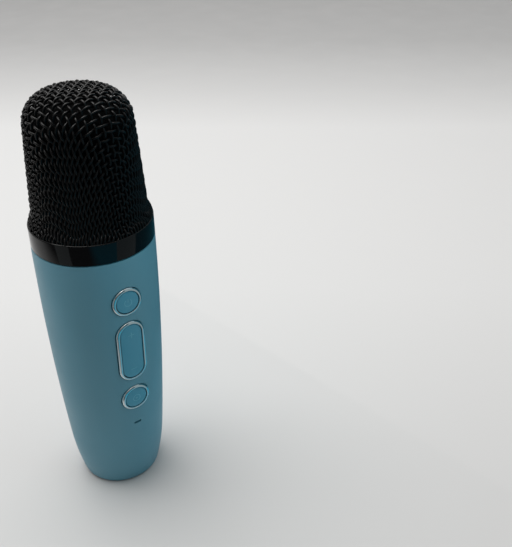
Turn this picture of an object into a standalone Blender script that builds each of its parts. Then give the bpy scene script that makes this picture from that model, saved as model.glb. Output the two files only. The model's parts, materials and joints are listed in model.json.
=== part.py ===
"""Handheld wireless karaoke microphone with a woven-wire head, built piece by piece.

Units are metres, +Z is up. The origin is the centre of the flat base, and the controls face -Y.
Each control sits in its own local frame on the handle's skin: local X is the microphone's X, local Y
runs up along the skin and local Z points straight out of it, so local z is a height above the skin.
"""

import math

import bmesh
import bpy
from mathutils import Matrix, Vector

GAP = 0.0003  # clearance between pieces that touch in the real object
MERGE = 1e-6

# Handle skin: a long side arc, a toe arc below it and a small fillet into the flat base.
HANDLE_RADIUS = 0.01826
HANDLE_WIDEST_Z = 0.088
SIDE_ARC = 0.938
TOE_ARC = 0.085
TOE_Z = 0.016
BASE_FILLET = 0.0015
HANDLE_TOP = 0.08945
WALL = 0.0018
FLOOR = 0.0020
INNER_FILLET = 0.0010

# Collar and woven head.
COLLAR_BOTTOM = 0.08975
COLLAR_FLOOR = 0.0913
COLLAR_TOP = 0.0961
GRILLE_RADIUS = 0.0171
GRILLE_TAPER = 0.06
GRILLE_CORNER = 0.0093
GRILLE_CROWN = 0.085
GRILLE_TOP = 0.135
GRILLE_HEM = 0.0919
SKIRT_TOP = 0.0997
SKIRT_FLARE = 0.00105
GRILLE_THICKNESS = 0.0011

# Threaded joint between head and handle.
THREAD_RADIUS = 0.0146
THREAD_BORE = 0.0149
INSERT_RADIUS = 0.01615
INSERT_BOTTOM = 0.0815
INSERT_TOP = 0.0882
INSERT_FLANGE = 0.0016
NECK_OPENING = 0.0094
NECK_SCREW_X = 0.0114

# Capsule, its holder and the foam over it.
HOLDER_RADIUS = 0.0089
HOLDER_BORE = 0.0077
DECK_RADIUS = 0.0092
DECK_TOP = 0.1040
LEAD_HOLE = 0.0030
BOOT_FLOOR = 0.0012
BOOT_HEIGHT = 0.0089
CAPSULE_RADIUS = 0.0070
CAPSULE_HEIGHT = 0.0080
FOAM_RADIUS = 0.0139
FOAM_NECK = 0.0126
FOAM_NECK_TOP = 0.0983
FOAM_TOP = 0.1321
FOAM_CROWN = 0.040
FOAM_CORNER = 0.0085

# Controls: height of each centre, half the straight length of the volume rocker, and stack heights
# measured from the skin.
POWER_Z = 0.0754
VOLUME_Z = 0.0573
MODE_Z = 0.0387
LED_Z = 0.0277
ROCKER_HALF = 0.0064
ROUND_BEZEL = 0.00470
OVAL_BEZEL = 0.00460
BEZEL_WIDTH = 0.00085
BEZEL_TOP = 0.00045
BEZEL_BOTTOM = -0.0009
BEZEL_ROUNDING = 0.0003
CAP_TOP = 0.0004
CAP_ROUNDING = 0.0002
FLANGE_TOP = -0.0014
FLANGE_BOTTOM = -0.00195
WELL_LEDGE = -0.0012
WELL_FLOOR = -0.0027
WELL_STEP = 0.0001
FLANGE_STEP = 0.0004
PAD_TOP = -0.0016
PAD_BOTTOM = -0.0041
STEM_RADIUS = 0.0014
STEM_TIP_Y = -0.0127
LED_SLOT_RADIUS = 0.0004
LED_SLOT_HALF = 0.00085
LED_HEIGHT = 0.0008

# Circuit board, switches and cell.
BOARD_FRONT = -0.0100
BOARD_BACK = -0.0088
BOARD_HALF_WIDTH = 0.0085
BOARD_BOTTOM = 0.0140
BOARD_TOP = 0.0786
SWITCH_SIDE = 0.0045
SWITCH_DEPTH = 0.0015
PLUNGER_RADIUS = 0.0010
PLUNGER_TIP = 0.0003
FRAME_FRONT = -0.0062
FRAME_BACK = -0.0049
CELL_RADIUS = 0.0070
CELL_Y = 0.0032
CELL_BOTTOM = 0.0155
CELL_LENGTH = 0.0500
BOARD_SCREW_Z = (0.0195, 0.0462)
SCREW_HOLE = 0.00105
LEAD_X = 0.0013

# Charging port in the base.
USB_RADIUS = 0.00163
USB_HALF = 0.00284
USB_WALL = 0.0003
USB_MOUTH = 0.0008
USB_END = 0.0081
CHARGE_BOARD_BOTTOM = 0.0084
CHARGE_BOARD_TOP = 0.0094
CHARGE_BOARD_RADIUS = 0.0115
CHARGE_SCREW_X = 0.0085

ROUND_STEPS = 36
MEDIUM_STEPS = 24
SMALL_STEPS = 20
TINY_STEPS = 10

COLOURS = {  # base colour, roughness, metallic
    "body_blue": ((0.060, 0.150, 0.200), 0.45, 0.0),
    "collar_black": ((0.004, 0.004, 0.005), 0.12, 0.0),
    "grille_black": ((0.010, 0.010, 0.011), 0.45, 0.6),
    "chrome": ((0.75, 0.76, 0.78), 0.08, 1.0),
    "steel": ((0.55, 0.55, 0.56), 0.30, 1.0),
    "frame_plastic": ((0.03, 0.03, 0.035), 0.55, 0.0),
    "rubber": ((0.015, 0.015, 0.015), 0.80, 0.0),
    "foam": ((0.012, 0.012, 0.012), 0.95, 0.0),
    "board": ((0.01, 0.10, 0.04), 0.40, 0.0),
    "chip": ((0.02, 0.02, 0.02), 0.50, 0.0),
    "ceramic": ((0.80, 0.78, 0.70), 0.35, 0.0),
    "cell_sleeve": ((0.10, 0.25, 0.55), 0.35, 0.0),
    "white_plastic": ((0.80, 0.80, 0.77), 0.45, 0.0),
    "clear": ((0.85, 0.88, 0.90), 0.10, 0.0),
    "wire_red": ((0.60, 0.03, 0.02), 0.45, 0.0),
    "wire_black": ((0.02, 0.02, 0.02), 0.45, 0.0),
}


# ---------------------------------------------------------------- scene and materials


def clear_scene():
    for obj in list(bpy.data.objects):
        bpy.data.objects.remove(obj, do_unlink=True)


def new_collection(name, hidden=False):
    collection = bpy.data.collections.new(name)
    collection.hide_render = hidden
    bpy.context.scene.collection.children.link(collection)
    return collection


def material(name):
    found = bpy.data.materials.get(name)
    if found:
        return found
    colour, roughness, metallic = COLOURS[name]
    made = bpy.data.materials.new(name)
    made.use_nodes = True
    shader = made.node_tree.nodes["Principled BSDF"]
    shader.inputs["Base Color"].default_value = (*colour, 1.0)
    shader.inputs["Roughness"].default_value = roughness
    shader.inputs["Metallic"].default_value = metallic
    return made


clear_scene()
PARTS = new_collection("karaoke_microphone")
CUTTERS = new_collection("cutters", hidden=True)


# ---------------------------------------------------------------- building blocks


def finish(obj, name, finish_name, matrix=None):
    """Puts an object among the parts under its own name, with its own material."""
    obj.name = name
    obj.data.name = name
    obj.data.materials.clear()
    obj.data.materials.append(material(finish_name))
    if matrix is not None:
        obj.matrix_world = matrix
    if PARTS not in obj.users_collection:
        PARTS.objects.link(obj)
    return obj


def evaluated_mesh(obj, weld=True):
    """The object's mesh with its modifiers applied. The object is removed."""
    if not obj.users_collection:
        PARTS.objects.link(obj)
    bpy.context.view_layer.update()
    graph = bpy.context.evaluated_depsgraph_get()
    mesh = bpy.data.meshes.new_from_object(obj.evaluated_get(graph), depsgraph=graph)
    bpy.data.objects.remove(obj)
    if not weld:
        return mesh
    welded = bmesh.new()
    welded.from_mesh(mesh)
    bmesh.ops.remove_doubles(welded, verts=welded.verts, dist=MERGE)
    bmesh.ops.recalc_face_normals(welded, faces=welded.faces)
    welded.to_mesh(mesh)
    welded.free()
    return mesh


def from_mesh(mesh):
    return bpy.data.objects.new("solid", mesh)


def smooth(mesh, angle=math.radians(35)):
    mesh.shade_smooth()
    mesh.set_sharp_from_angle(angle=angle)
    return mesh


def turned(profile, steps=ROUND_STEPS, closed=True):
    """A solid of revolution about Z. The profile lists (radius, z) down the outer side and back up
    the inner one; an open profile starts and ends on the axis."""
    mesh = bpy.data.meshes.new("profile")
    count = len(profile)
    edges = [(i, i + 1) for i in range(count - 1)]
    if closed:
        edges.append((count - 1, 0))
    mesh.from_pydata([(r, 0.0, z) for r, z in profile], edges, [])
    obj = bpy.data.objects.new("turned", mesh)
    screw = obj.modifiers.new("turn", "SCREW")
    screw.axis = "Z"
    screw.angle = 2 * math.pi
    screw.steps = steps
    screw.render_steps = steps
    screw.use_merge_vertices = True
    screw.merge_threshold = MERGE
    return from_mesh(smooth(evaluated_mesh(obj)))


def slot_spline(curve, radius, half_length, along_x, steps):
    """One closed outline: a circle, or a slot with round ends."""
    spline = curve.splines.new("POLY")
    spline.points.add(steps - 1)
    for index, point in enumerate(spline.points):
        angle = 2 * math.pi * (index + 0.5) / steps
        across, along = radius * math.cos(angle), radius * math.sin(angle)
        along += math.copysign(half_length, along)
        point.co = (along, across, 0, 1) if along_x else (across, along, 0, 1)
    spline.use_cyclic_u = True


def plate(outlines, low, high, rounding=0.0, along_x=False, steps=SMALL_STEPS):
    """A flat solid between two heights, from (radius, half length) outlines; a second one is a hole."""
    curve = bpy.data.curves.new("outline", "CURVE")
    curve.dimensions = "2D"
    curve.fill_mode = "BOTH"
    curve.extrude = (high - low) / 2 - rounding
    curve.bevel_depth = rounding
    curve.offset = -rounding
    curve.bevel_resolution = 0
    for radius, half_length in outlines:
        slot_spline(curve, radius, half_length, along_x, steps)
    mesh = evaluated_mesh(bpy.data.objects.new("plate", curve))
    mesh.transform(Matrix.Translation((0, 0, (low + high) / 2)))
    return from_mesh(smooth(mesh))


def box(low, high):
    """A box between two corners."""
    low, high = Vector(low), Vector(high)
    shape = bmesh.new()
    bmesh.ops.create_cube(shape, size=1.0)
    size = Matrix.Diagonal((*(high - low), 1.0))
    shape.transform(Matrix.Translation((low + high) / 2) @ size)
    mesh = bpy.data.meshes.new("box")
    shape.to_mesh(mesh)
    shape.free()
    return from_mesh(mesh)


def rod(start, end, radius, steps=SMALL_STEPS):
    """A cylinder from one point to another."""
    start, end = Vector(start), Vector(end)
    length = (end - start).length
    shape = bmesh.new()
    bmesh.ops.create_cone(
        shape, cap_ends=True, segments=steps, radius1=radius, radius2=radius, depth=length
    )
    turn = (end - start).to_track_quat("Z", "Y").to_matrix().to_4x4()
    shape.transform(Matrix.Translation((start + end) / 2) @ turn)
    mesh = bpy.data.meshes.new("rod")
    shape.to_mesh(mesh)
    shape.free()
    return from_mesh(smooth(mesh))


def disc(radius, low, high):
    return rod((0, 0, low), (0, 0, high), radius, MEDIUM_STEPS)


def hole_pair(x, low, high):
    """Cutters for two upright screw holes, at -x and x."""
    return [rod((side * x, 0, low), (side * x, 0, high), SCREW_HOLE, TINY_STEPS) for side in (-1, 1)]


def combine(obj, others, operation):
    """Joins others to obj, or cuts them from it, in one step, and returns the resulting solid."""
    operands = bpy.data.collections.new("operands")
    CUTTERS.children.link(operands)
    for index, other in enumerate(others):
        other.name = f"{operation.lower()}_{index}"
        other.hide_render = True
        other.display_type = "WIRE"
        operands.objects.link(other)
    boolean = obj.modifiers.new("combine", "BOOLEAN")
    boolean.operation = operation
    boolean.solver = "EXACT"
    boolean.operand_type = "COLLECTION"
    boolean.collection = operands
    mesh = evaluated_mesh(obj, weld=False)
    for other in others:
        bpy.data.objects.remove(other)
    bpy.data.collections.remove(operands)
    return from_mesh(smooth(mesh))


def join(obj, *others):
    return combine(obj, others, "UNION")


def cut(obj, *others):
    return combine(obj, others, "DIFFERENCE")


def placed(obj, matrix):
    obj.data.transform(matrix)
    return obj


def bevelled(obj, width):
    """Takes off every edge of a mesh."""
    bevel = obj.modifiers.new("edges", "BEVEL")
    bevel.width = width
    bevel.segments = 1
    return from_mesh(smooth(evaluated_mesh(obj)))


def wire(name, finish_name, points, radius=0.00045):
    """A soft lead through the given points."""
    curve = bpy.data.curves.new(name, "CURVE")
    curve.dimensions = "3D"
    curve.bevel_depth = radius
    curve.bevel_resolution = 1
    curve.resolution_u = 3
    curve.use_fill_caps = True
    spline = curve.splines.new("BEZIER")
    spline.bezier_points.add(len(points) - 1)
    for bezier, point in zip(spline.bezier_points, points):
        bezier.co = point
        bezier.handle_left_type = "AUTO"
        bezier.handle_right_type = "AUTO"
    return finish(bpy.data.objects.new(name, curve), name, finish_name)


def arc(centre, radius, start, end, count):
    """Points along an arc, both ends included; angles are in radians from +X of the profile."""
    points = []
    for index in range(count + 1):
        angle = start + (end - start) * index / count
        points.append((centre[0] + radius * math.cos(angle), centre[1] + radius * math.sin(angle)))
    return points


# ---------------------------------------------------------------- outlines


def side_centre():
    return (HANDLE_RADIUS - SIDE_ARC, HANDLE_WIDEST_Z)


def toe_angle():
    return math.asin((TOE_Z - HANDLE_WIDEST_Z) / SIDE_ARC)


def toe_centre():
    centre, angle = side_centre(), toe_angle()
    reach = SIDE_ARC - TOE_ARC
    return (centre[0] + reach * math.cos(angle), centre[1] + reach * math.sin(angle))


def handle_outline(inset, top, floor, fillet, side_count, toe_count, fillet_count):
    """The handle's skin, or a surface inset from it, from the rim down to the edge of the floor."""
    centre, toe = side_centre(), toe_centre()
    start = math.asin((top - centre[1]) / (SIDE_ARC - inset))
    points = arc(centre, SIDE_ARC - inset, start, toe_angle(), side_count)
    reach = TOE_ARC - inset - fillet
    fillet_z = floor + fillet
    fillet_r = toe[0] + math.sqrt(reach**2 - (fillet_z - toe[1]) ** 2)
    end = math.atan2(fillet_z - toe[1], fillet_r - toe[0])
    points += arc(toe, TOE_ARC - inset, toe_angle(), end, toe_count)[1:]
    points += arc((fillet_r, fillet_z), fillet, end, -math.pi / 2, fillet_count)[1:]
    return points


def skin_radius(z):
    return side_centre()[0] + math.sqrt(SIDE_ARC**2 - (z - HANDLE_WIDEST_Z) ** 2)


def skin_tilt(z):
    """How far the skin leans outwards with height, in radians."""
    return math.atan2(HANDLE_WIDEST_Z - z, skin_radius(z) - side_centre()[0])


def skin_frame(z):
    """Matrix of a control's local frame, at the front of the skin."""
    turn = Matrix.Rotation(math.pi / 2 + skin_tilt(z), 4, "X")
    return Matrix.Translation((0, -skin_radius(z), z)) @ turn


def grille_corner_centre():
    """Centre of the arc that meets the tapered side and the crown smoothly."""
    lean = math.hypot(1, GRILLE_TAPER)
    crown_z = GRILLE_TOP - GRILLE_CROWN
    reach = GRILLE_CROWN - GRILLE_CORNER
    offset = GRILLE_RADIUS + GRILLE_TAPER * COLLAR_TOP - GRILLE_CORNER * lean
    a = 1 + GRILLE_TAPER**2
    b = offset * GRILLE_TAPER + crown_z
    c = offset**2 + crown_z**2 - reach**2
    z = (b + math.sqrt(b**2 - a * c)) / a
    return (offset - GRILLE_TAPER * z, z)


def grille_outline(inset, crown_count, corner_count):
    """The head's outline from the top of the crown down to the hem."""
    crown = (0.0, GRILLE_TOP - GRILLE_CROWN)
    corner = grille_corner_centre()
    meet = math.atan2(corner[1] - crown[1], corner[0])
    side = math.atan(GRILLE_TAPER)
    points = arc(crown, GRILLE_CROWN - inset, math.pi / 2, meet, crown_count)
    points += arc(corner, GRILLE_CORNER - inset, meet, side, corner_count)[1:]
    points += [(GRILLE_RADIUS - inset, COLLAR_TOP), (GRILLE_RADIUS - inset, GRILLE_HEM)]
    return points


# ---------------------------------------------------------------- handle


def control_wells():
    """(frame, bezel radius, half length, stem heights along the skin) of the three controls."""
    return (
        (skin_frame(POWER_Z), ROUND_BEZEL, 0.0, (0.0,)),
        (skin_frame(VOLUME_Z), OVAL_BEZEL, ROCKER_HALF, (ROCKER_HALF, -ROCKER_HALF)),
        (skin_frame(MODE_Z), ROUND_BEZEL, 0.0, (0.0,)),
    )


def well_solids():
    """(pads to add, bores to remove) that form the stepped wells of the controls."""
    pad_wall, bore_clearance, guide_clearance = 0.0011, GAP + 0.0001, 0.0004
    above_skin, below_pad = 0.003, PAD_BOTTOM - 0.002
    pads, bores = [], []
    for frame, bezel, half, stems in control_wells():
        pads.append(placed(plate([(bezel + pad_wall, half)], PAD_BOTTOM, PAD_TOP), frame))
        mouth = plate([(bezel + bore_clearance, half)], WELL_LEDGE, above_skin)
        well = plate([(bezel - WELL_STEP, half)], WELL_FLOOR, 0.0)
        bores += [placed(mouth, frame), placed(well, frame)]
        for height in stems:
            start, end = (0, height, below_pad), (0, height, PAD_TOP)
            bores.append(placed(rod(start, end, STEM_RADIUS + guide_clearance, 16), frame))
    return pads, bores


def boss_solids():
    """(bosses to add, pilot holes to remove) for the two screws that hold the neck and the frame."""
    boss_radius, bottom, top = 0.0022, 0.0700, 0.0795
    rib_half, pilot_bottom = 0.0012, 0.0720
    bosses, pilots = [], []
    for side in (-1, 1):
        x = side * NECK_SCREW_X
        low, high = sorted((x, side * (HANDLE_RADIUS - WALL / 2)))
        bosses.append(rod((x, 0, bottom), (x, 0, top), boss_radius, 16))
        bosses.append(box((low, -rib_half, bottom), (high, rib_half, top)))
        pilots.append(rod((x, 0, pilot_bottom), (x, 0, top + 0.001), SCREW_HOLE, TINY_STEPS))
    return bosses, pilots


def handle_shell():
    """One-piece tapered sleeve with a flat closed base, control wells and two screw bosses."""
    outer = handle_outline(0.0, HANDLE_TOP, 0.0, BASE_FILLET, 6, 3, 3)
    inner = handle_outline(WALL, HANDLE_TOP, FLOOR, INNER_FILLET, 4, 2, 2)
    shell = turned(outer + [(0.0, 0.0), (0.0, FLOOR)] + inner[::-1])
    pads, bores = well_solids()
    bosses, pilots = boss_solids()
    led_slot = plate(
        [(LED_SLOT_RADIUS, LED_SLOT_HALF)], -2 * WALL, WALL, along_x=True, steps=TINY_STEPS
    )
    usb_opening = plate([(USB_RADIUS + GAP, USB_HALF)], -FLOOR, 2 * FLOOR, along_x=True)
    removed = bores + pilots + [placed(led_slot, skin_frame(LED_Z)), usb_opening]
    finish(cut(join(shell, *pads, *bosses), *removed), "handle_shell", "body_blue")


def bezels():
    """Chrome trim rings pressed into the mouths of the wells."""
    names = ("power_bezel", "volume_bezel", "mode_bezel")
    for name, (frame, bezel, half, _stems) in zip(names, control_wells()):
        outlines = [(bezel, half), (bezel - BEZEL_WIDTH, half)]
        ring = plate(outlines, BEZEL_BOTTOM, BEZEL_TOP, BEZEL_ROUNDING, steps=MEDIUM_STEPS)
        finish(ring, name, "chrome", frame)


def stem_tip(z, height):
    """Local height of a stem's tip, which ends at the same depth for every control."""
    tilt = skin_tilt(z)
    return (-STEM_TIP_Y - skin_radius(z) - height * math.sin(tilt)) / math.cos(tilt)


def cap(name, z, bezel, half, stems, extra=(), pivot=0.0):
    """A button: rounded face, retaining flange under the bezel, and stems that reach the switches.
    Its parent empty stands on the joint's axis, at local height pivot."""
    face_radius = bezel - BEZEL_WIDTH - GAP
    face_bottom = (FLANGE_TOP + FLANGE_BOTTOM) / 2
    face = plate([(face_radius, half)], face_bottom, CAP_TOP, CAP_ROUNDING)
    solids = [plate([(bezel - FLANGE_STEP, half)], FLANGE_BOTTOM, FLANGE_TOP)]
    for height in stems:
        tip = stem_tip(z, height)
        solids.append(rod((0, height, tip), (0, height, face_bottom), STEM_RADIUS, 16))
    solids += list(extra)
    frame = skin_frame(z)
    holder = bpy.data.objects.new(name + "_axis", None)
    PARTS.objects.link(holder)
    holder.matrix_world = frame @ Matrix.Translation((0, 0, pivot))
    body = placed(join(face, *solids), Matrix.Translation((0, 0, -pivot)))
    finish(body, name, "body_blue").parent = holder


def caps():
    rib_length, rib_half = 0.0044, 0.0005
    low = (-rib_length / 2, -rib_half, WELL_FLOOR + GAP)
    high = (rib_length / 2, rib_half, FLANGE_TOP)
    legs = (ROCKER_HALF, -ROCKER_HALF)
    cap("power_button", POWER_Z, ROUND_BEZEL, 0.0, (0.0,))
    cap("volume_rocker", VOLUME_Z, OVAL_BEZEL, ROCKER_HALF, legs, (box(low, high),), WELL_FLOOR)
    cap("mode_button", MODE_Z, ROUND_BEZEL, 0.0, (0.0,))


def light_pipe():
    """Clear bar that carries the lamp's light to the back of the slot in the skin."""
    inner_end = BOARD_FRONT - GAP - LED_HEIGHT - GAP
    outer_end = -(skin_radius(LED_Z) - WALL - GAP)
    turn = Matrix.Translation((0, inner_end, LED_Z)) @ Matrix.Rotation(math.pi / 2, 4, "X")
    section = [(LED_SLOT_RADIUS + GAP, LED_SLOT_HALF)]
    bar = plate(section, 0.0, inner_end - outer_end, along_x=True, steps=TINY_STEPS)
    finish(placed(bar, turn), "light_pipe", "clear")


# ---------------------------------------------------------------- electronics


def switch_places():
    """(name, height) of each tactile switch, where its stem's tip lands."""
    places = []
    rows = (
        ("power_switch", POWER_Z, 0.0),
        ("volume_up_switch", VOLUME_Z, ROCKER_HALF),
        ("volume_down_switch", VOLUME_Z, -ROCKER_HALF),
        ("mode_switch", MODE_Z, 0.0),
    )
    for name, z, height in rows:
        tip = skin_frame(z) @ Vector((0, height, stem_tip(z, height)))
        places.append((name, tip.z))
    return places


def switches():
    body_back = BOARD_FRONT - GAP
    body_front = body_back - SWITCH_DEPTH
    plunger_front = STEM_TIP_Y + PLUNGER_TIP
    plunger_back, hole_back = body_back - 0.0008, body_back - 0.0003
    half, edge = SWITCH_SIDE / 2, 0.0002
    for name, z in switch_places():
        body = bevelled(box((-half, body_front, z - half), (half, body_back, z + half)), edge)
        hole = rod((0, 2 * body_front, z), (0, hole_back, z), PLUNGER_RADIUS + GAP, TINY_STEPS)
        finish(cut(body, hole), name, "chip")
        plunger = rod((0, plunger_front, 0), (0, plunger_back, 0), PLUNGER_RADIUS, TINY_STEPS)
        finish(plunger, name + "_plunger", "white_plastic", Matrix.Translation((0, 0, z)))


def main_board():
    board = box(
        (-BOARD_HALF_WIDTH, BOARD_FRONT, BOARD_BOTTOM), (BOARD_HALF_WIDTH, BOARD_BACK, BOARD_TOP)
    )
    holes = []
    for z in BOARD_SCREW_Z:
        holes.append(rod((0, 2 * BOARD_FRONT, z), (0, FRAME_FRONT, z), SCREW_HOLE, TINY_STEPS))
    finish(cut(board, *holes), "main_board", "board")


def component(name, finish_name, x_range, z_range, height, behind=True):
    """A part soldered on the main board, standing a given height off its back or its front."""
    if behind:
        y_range = (BOARD_BACK + GAP, BOARD_BACK + GAP + height)
    else:
        y_range = (BOARD_FRONT - GAP - height, BOARD_FRONT - GAP)
    low, high = zip(x_range, y_range, z_range)
    finish(bevelled(box(low, high), 0.0002), name, finish_name)


def board_parts():
    """The front of the board faces the controls, and its back faces the frame and the cell."""
    led_half = (0.0008, 0.0005)
    led_z = (LED_Z - led_half[1], LED_Z + led_half[1])
    component("wireless_module", "steel", (-0.0060, 0.0060), (0.0500, 0.0640), 0.0016)
    component("audio_chip", "chip", (-0.0025, 0.0025), (0.0345, 0.0395), 0.0009)
    component("charger_chip", "chip", (-0.0020, 0.0020), (0.0255, 0.0290), 0.0009)
    component("battery_connector", "white_plastic", (-0.0028, 0.0028), (0.0665, 0.0705), 0.0020)
    component("antenna", "ceramic", (0.0015, 0.0070), (0.0672, 0.0688), 0.0012, behind=False)
    component("status_led", "clear", (-led_half[0], led_half[0]), led_z, LED_HEIGHT, behind=False)


def battery():
    top = CELL_BOTTOM + CELL_LENGTH
    edge, pip, pip_height = 0.0005, 0.0022, 0.0008
    profile = [
        (0.0, top),
        (pip, top),
        (pip, top - pip_height),
        (CELL_RADIUS - edge, top - pip_height),
        (CELL_RADIUS, top - pip_height - edge),
        (CELL_RADIUS, CELL_BOTTOM + edge),
        (CELL_RADIUS - edge, CELL_BOTTOM),
        (0.0, CELL_BOTTOM),
    ]
    cell = turned(profile, SMALL_STEPS, closed=False)
    finish(cell, "battery_cell", "cell_sleeve", Matrix.Translation((0, CELL_Y, 0)))
    pad_half, pad_thickness, pad_low, pad_high = 0.0030, 0.0004, 0.0320, 0.0500
    pad_front = FRAME_BACK + GAP
    pad = box((-pad_half, pad_front, pad_low), (pad_half, pad_front + pad_thickness, pad_high))
    finish(pad, "battery_pad", "foam")


def leads():
    """Three pairs of leads: cell to board, charging port to board, and capsule to board."""
    cell_top = CELL_BOTTOM + CELL_LENGTH
    plug_z, charge_pad_z, capsule_pad_z = 0.0688, 0.0156, 0.0772
    behind_board, bend = BOARD_BACK + 0.0010, 0.0012
    routes = {  # (y, z) of the points each pair passes through
        "battery": [
            (CELL_Y, cell_top + 0.0008),
            (CELL_Y - 0.0010, cell_top + 0.0030),
            (-0.0030, plug_z + 0.0002),
            (-0.0061, plug_z),
        ],
        "charge": [
            (0.0070, CHARGE_BOARD_TOP + 0.0006),
            (0.0066, charge_pad_z - 0.0034),
            (0.0040, charge_pad_z - 0.0022),
            (-0.0040, charge_pad_z - 0.0020),
            (-0.0070, charge_pad_z - 0.0014),
            (behind_board, charge_pad_z),
        ],
        "capsule": [
            (0.0, DECK_TOP + bend),
            (0.0, 0.1000),
            (-0.0008, 0.0850),
            (-0.0036, 0.0795),
            (-0.0060, capsule_pad_z + 0.0006),
            (behind_board - 0.0005, capsule_pad_z),
        ],
    }
    for pair, route in routes.items():
        for side, colour in ((-1, "red"), (1, "black")):
            points = [(side * LEAD_X, y, z) for y, z in route]
            wire(f"{pair}_wire_{colour}", "wire_" + colour, points)


# ---------------------------------------------------------------- charging port


def charging_port():
    """Socket shell, its contact tongue and the round board they stand on."""
    outlines = [(USB_RADIUS, USB_HALF), (USB_RADIUS - USB_WALL, USB_HALF)]
    finish(plate(outlines, USB_MOUTH, USB_END, along_x=True), "usb_socket_shell", "steel")
    tongue_half, tongue_depth, tongue_recess = 0.0032, 0.00035, 0.0010
    low = (-tongue_half, -tongue_depth, USB_MOUTH + tongue_recess)
    finish(box(low, (tongue_half, tongue_depth, USB_END)), "usb_socket_tongue", "chip")
    board = disc(CHARGE_BOARD_RADIUS, CHARGE_BOARD_BOTTOM, CHARGE_BOARD_TOP)
    finish(cut(board, *hole_pair(CHARGE_SCREW_X, 0.0, 2 * CHARGE_BOARD_TOP)), "charge_board", "board")


# ---------------------------------------------------------------- frame


def cell_cradles():
    """Two open clips round the cell."""
    inner, outer, height, mouth_y = CELL_RADIUS + GAP, CELL_RADIUS + 0.0013, 0.0040, 0.0066
    cradles = []
    for low in (0.0240, 0.0540):
        high = low + height
        ring = turned([(inner, high), (outer, high), (outer, low), (inner, low)], MEDIUM_STEPS)
        placed(ring, Matrix.Translation((0, CELL_Y, 0)))
        mouth = box((-outer, mouth_y, low - GAP), (outer, CELL_Y + 2 * outer, high + GAP))
        cradles.append(cut(ring, mouth))
    return cradles


def chassis_frame():
    """Sled that slides in from the top: spine, end plates, board rails and clips for the cell."""
    flange_bottom, flange_top, flange_radius = 0.0798, 0.0812, 0.0161
    plate_bottom, plate_top, plate_radius = 0.0097, 0.0112, 0.0123
    spine_half, spine_bottom, spine_top = 0.0098, 0.0102, 0.0805
    rail_inner, rail_outer, rail_bottom, rail_top = 0.0070, 0.0086, 0.0150, 0.0770
    post_radius, overlap = 0.0020, 0.0004
    standoff = BOARD_BACK + GAP
    spine = box((-spine_half, FRAME_FRONT, spine_bottom), (spine_half, FRAME_BACK, spine_top))
    added = cell_cradles()
    for side in (-1, 1):
        low, high = sorted((side * rail_inner, side * rail_outer))
        added.append(box((low, standoff, rail_bottom), (high, FRAME_FRONT + overlap, rail_top)))
    for z in BOARD_SCREW_Z:
        added.append(rod((0, standoff, z), (0, FRAME_BACK - overlap, z), post_radius, 16))
    flange = [(NECK_OPENING, flange_top), (flange_radius, flange_top)]
    flange += [(flange_radius, flange_bottom), (NECK_OPENING, flange_bottom)]
    added += [turned(flange), disc(plate_radius, plate_bottom, plate_top)]

    front, back = FRAME_FRONT - 0.0009, FRAME_BACK + 0.001
    well_half, well_y = 0.0066, (-0.0170, -0.0125)
    notch = box((-well_half, well_y[0], 0.0780), (well_half, well_y[1], 0.0820))
    removed = [notch]
    # Windows in the spine for the capsule's, the cell's and the charging port's leads.
    for half, low, high in ((0.0040, 0.0755, 0.0820), (0.0030, 0.0670, 0.0710), (0.0030, 0.0122, 0.0165)):
        removed.append(box((-half, front, low), (half, back, high)))
    lead_hole_half, lead_hole_y = 0.0030, (0.0050, 0.0088)
    low = (-lead_hole_half, lead_hole_y[0], plate_bottom - 0.0007)
    removed.append(box(low, (lead_hole_half, lead_hole_y[1], plate_top + 0.0008)))
    removed += hole_pair(NECK_SCREW_X, flange_bottom - 0.001, flange_top + 0.001)
    removed += hole_pair(CHARGE_SCREW_X, plate_bottom - 0.001, plate_top + 0.001)
    for z in BOARD_SCREW_Z:
        removed.append(rod((0, BOARD_FRONT, z), (0, back, z), SCREW_HOLE, TINY_STEPS))
    finish(cut(join(spine, *added), *removed), "chassis_frame", "frame_plastic")


def screw_mesh(length):
    """A small cross-head screw, its head's seat at z = 0 and its shank pointing down."""
    head_radius, head_height, shank_radius, point = 0.0015, 0.0010, 0.0007, 0.0005
    profile = [
        (0.0, head_height),
        (head_radius * 0.7, head_height),
        (head_radius, head_height * 0.5),
        (head_radius, 0.0),
        (shank_radius, 0.0),
        (shank_radius, point - length),
        (0.0, -length),
    ]
    body = turned(profile, TINY_STEPS, closed=False)
    slot, reach, depth, top = 0.0002, 0.0009, 0.0005, 2 * head_height
    first = box((-reach, -slot, head_height - depth), (reach, slot, top))
    second = box((-slot, -reach, head_height - depth), (slot, reach, top))
    return cut(body, first, second).data


def screws():
    neck_screw, board_screw = screw_mesh(0.0085), screw_mesh(0.0036)
    seat = INSERT_BOTTOM + INSERT_FLANGE + GAP
    forwards = Matrix.Rotation(math.pi / 2, 4, "X")
    downwards = Matrix.Rotation(math.pi, 4, "X")
    for side, word in ((-1, "left"), (1, "right")):
        place = Matrix.Translation((side * NECK_SCREW_X, 0, seat))
        finish(from_mesh(neck_screw.copy()), "neck_screw_" + word, "steel", place)
        place = Matrix.Translation((side * CHARGE_SCREW_X, 0, CHARGE_BOARD_BOTTOM - GAP)) @ downwards
        finish(from_mesh(board_screw.copy()), "charge_board_screw_" + word, "steel", place)
    for z, word in zip(BOARD_SCREW_Z, ("lower", "upper")):
        place = Matrix.Translation((0, BOARD_FRONT - GAP, z)) @ forwards
        finish(from_mesh(board_screw.copy()), "board_screw_" + word, "steel", place)


# ---------------------------------------------------------------- neck, capsule and head


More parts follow.
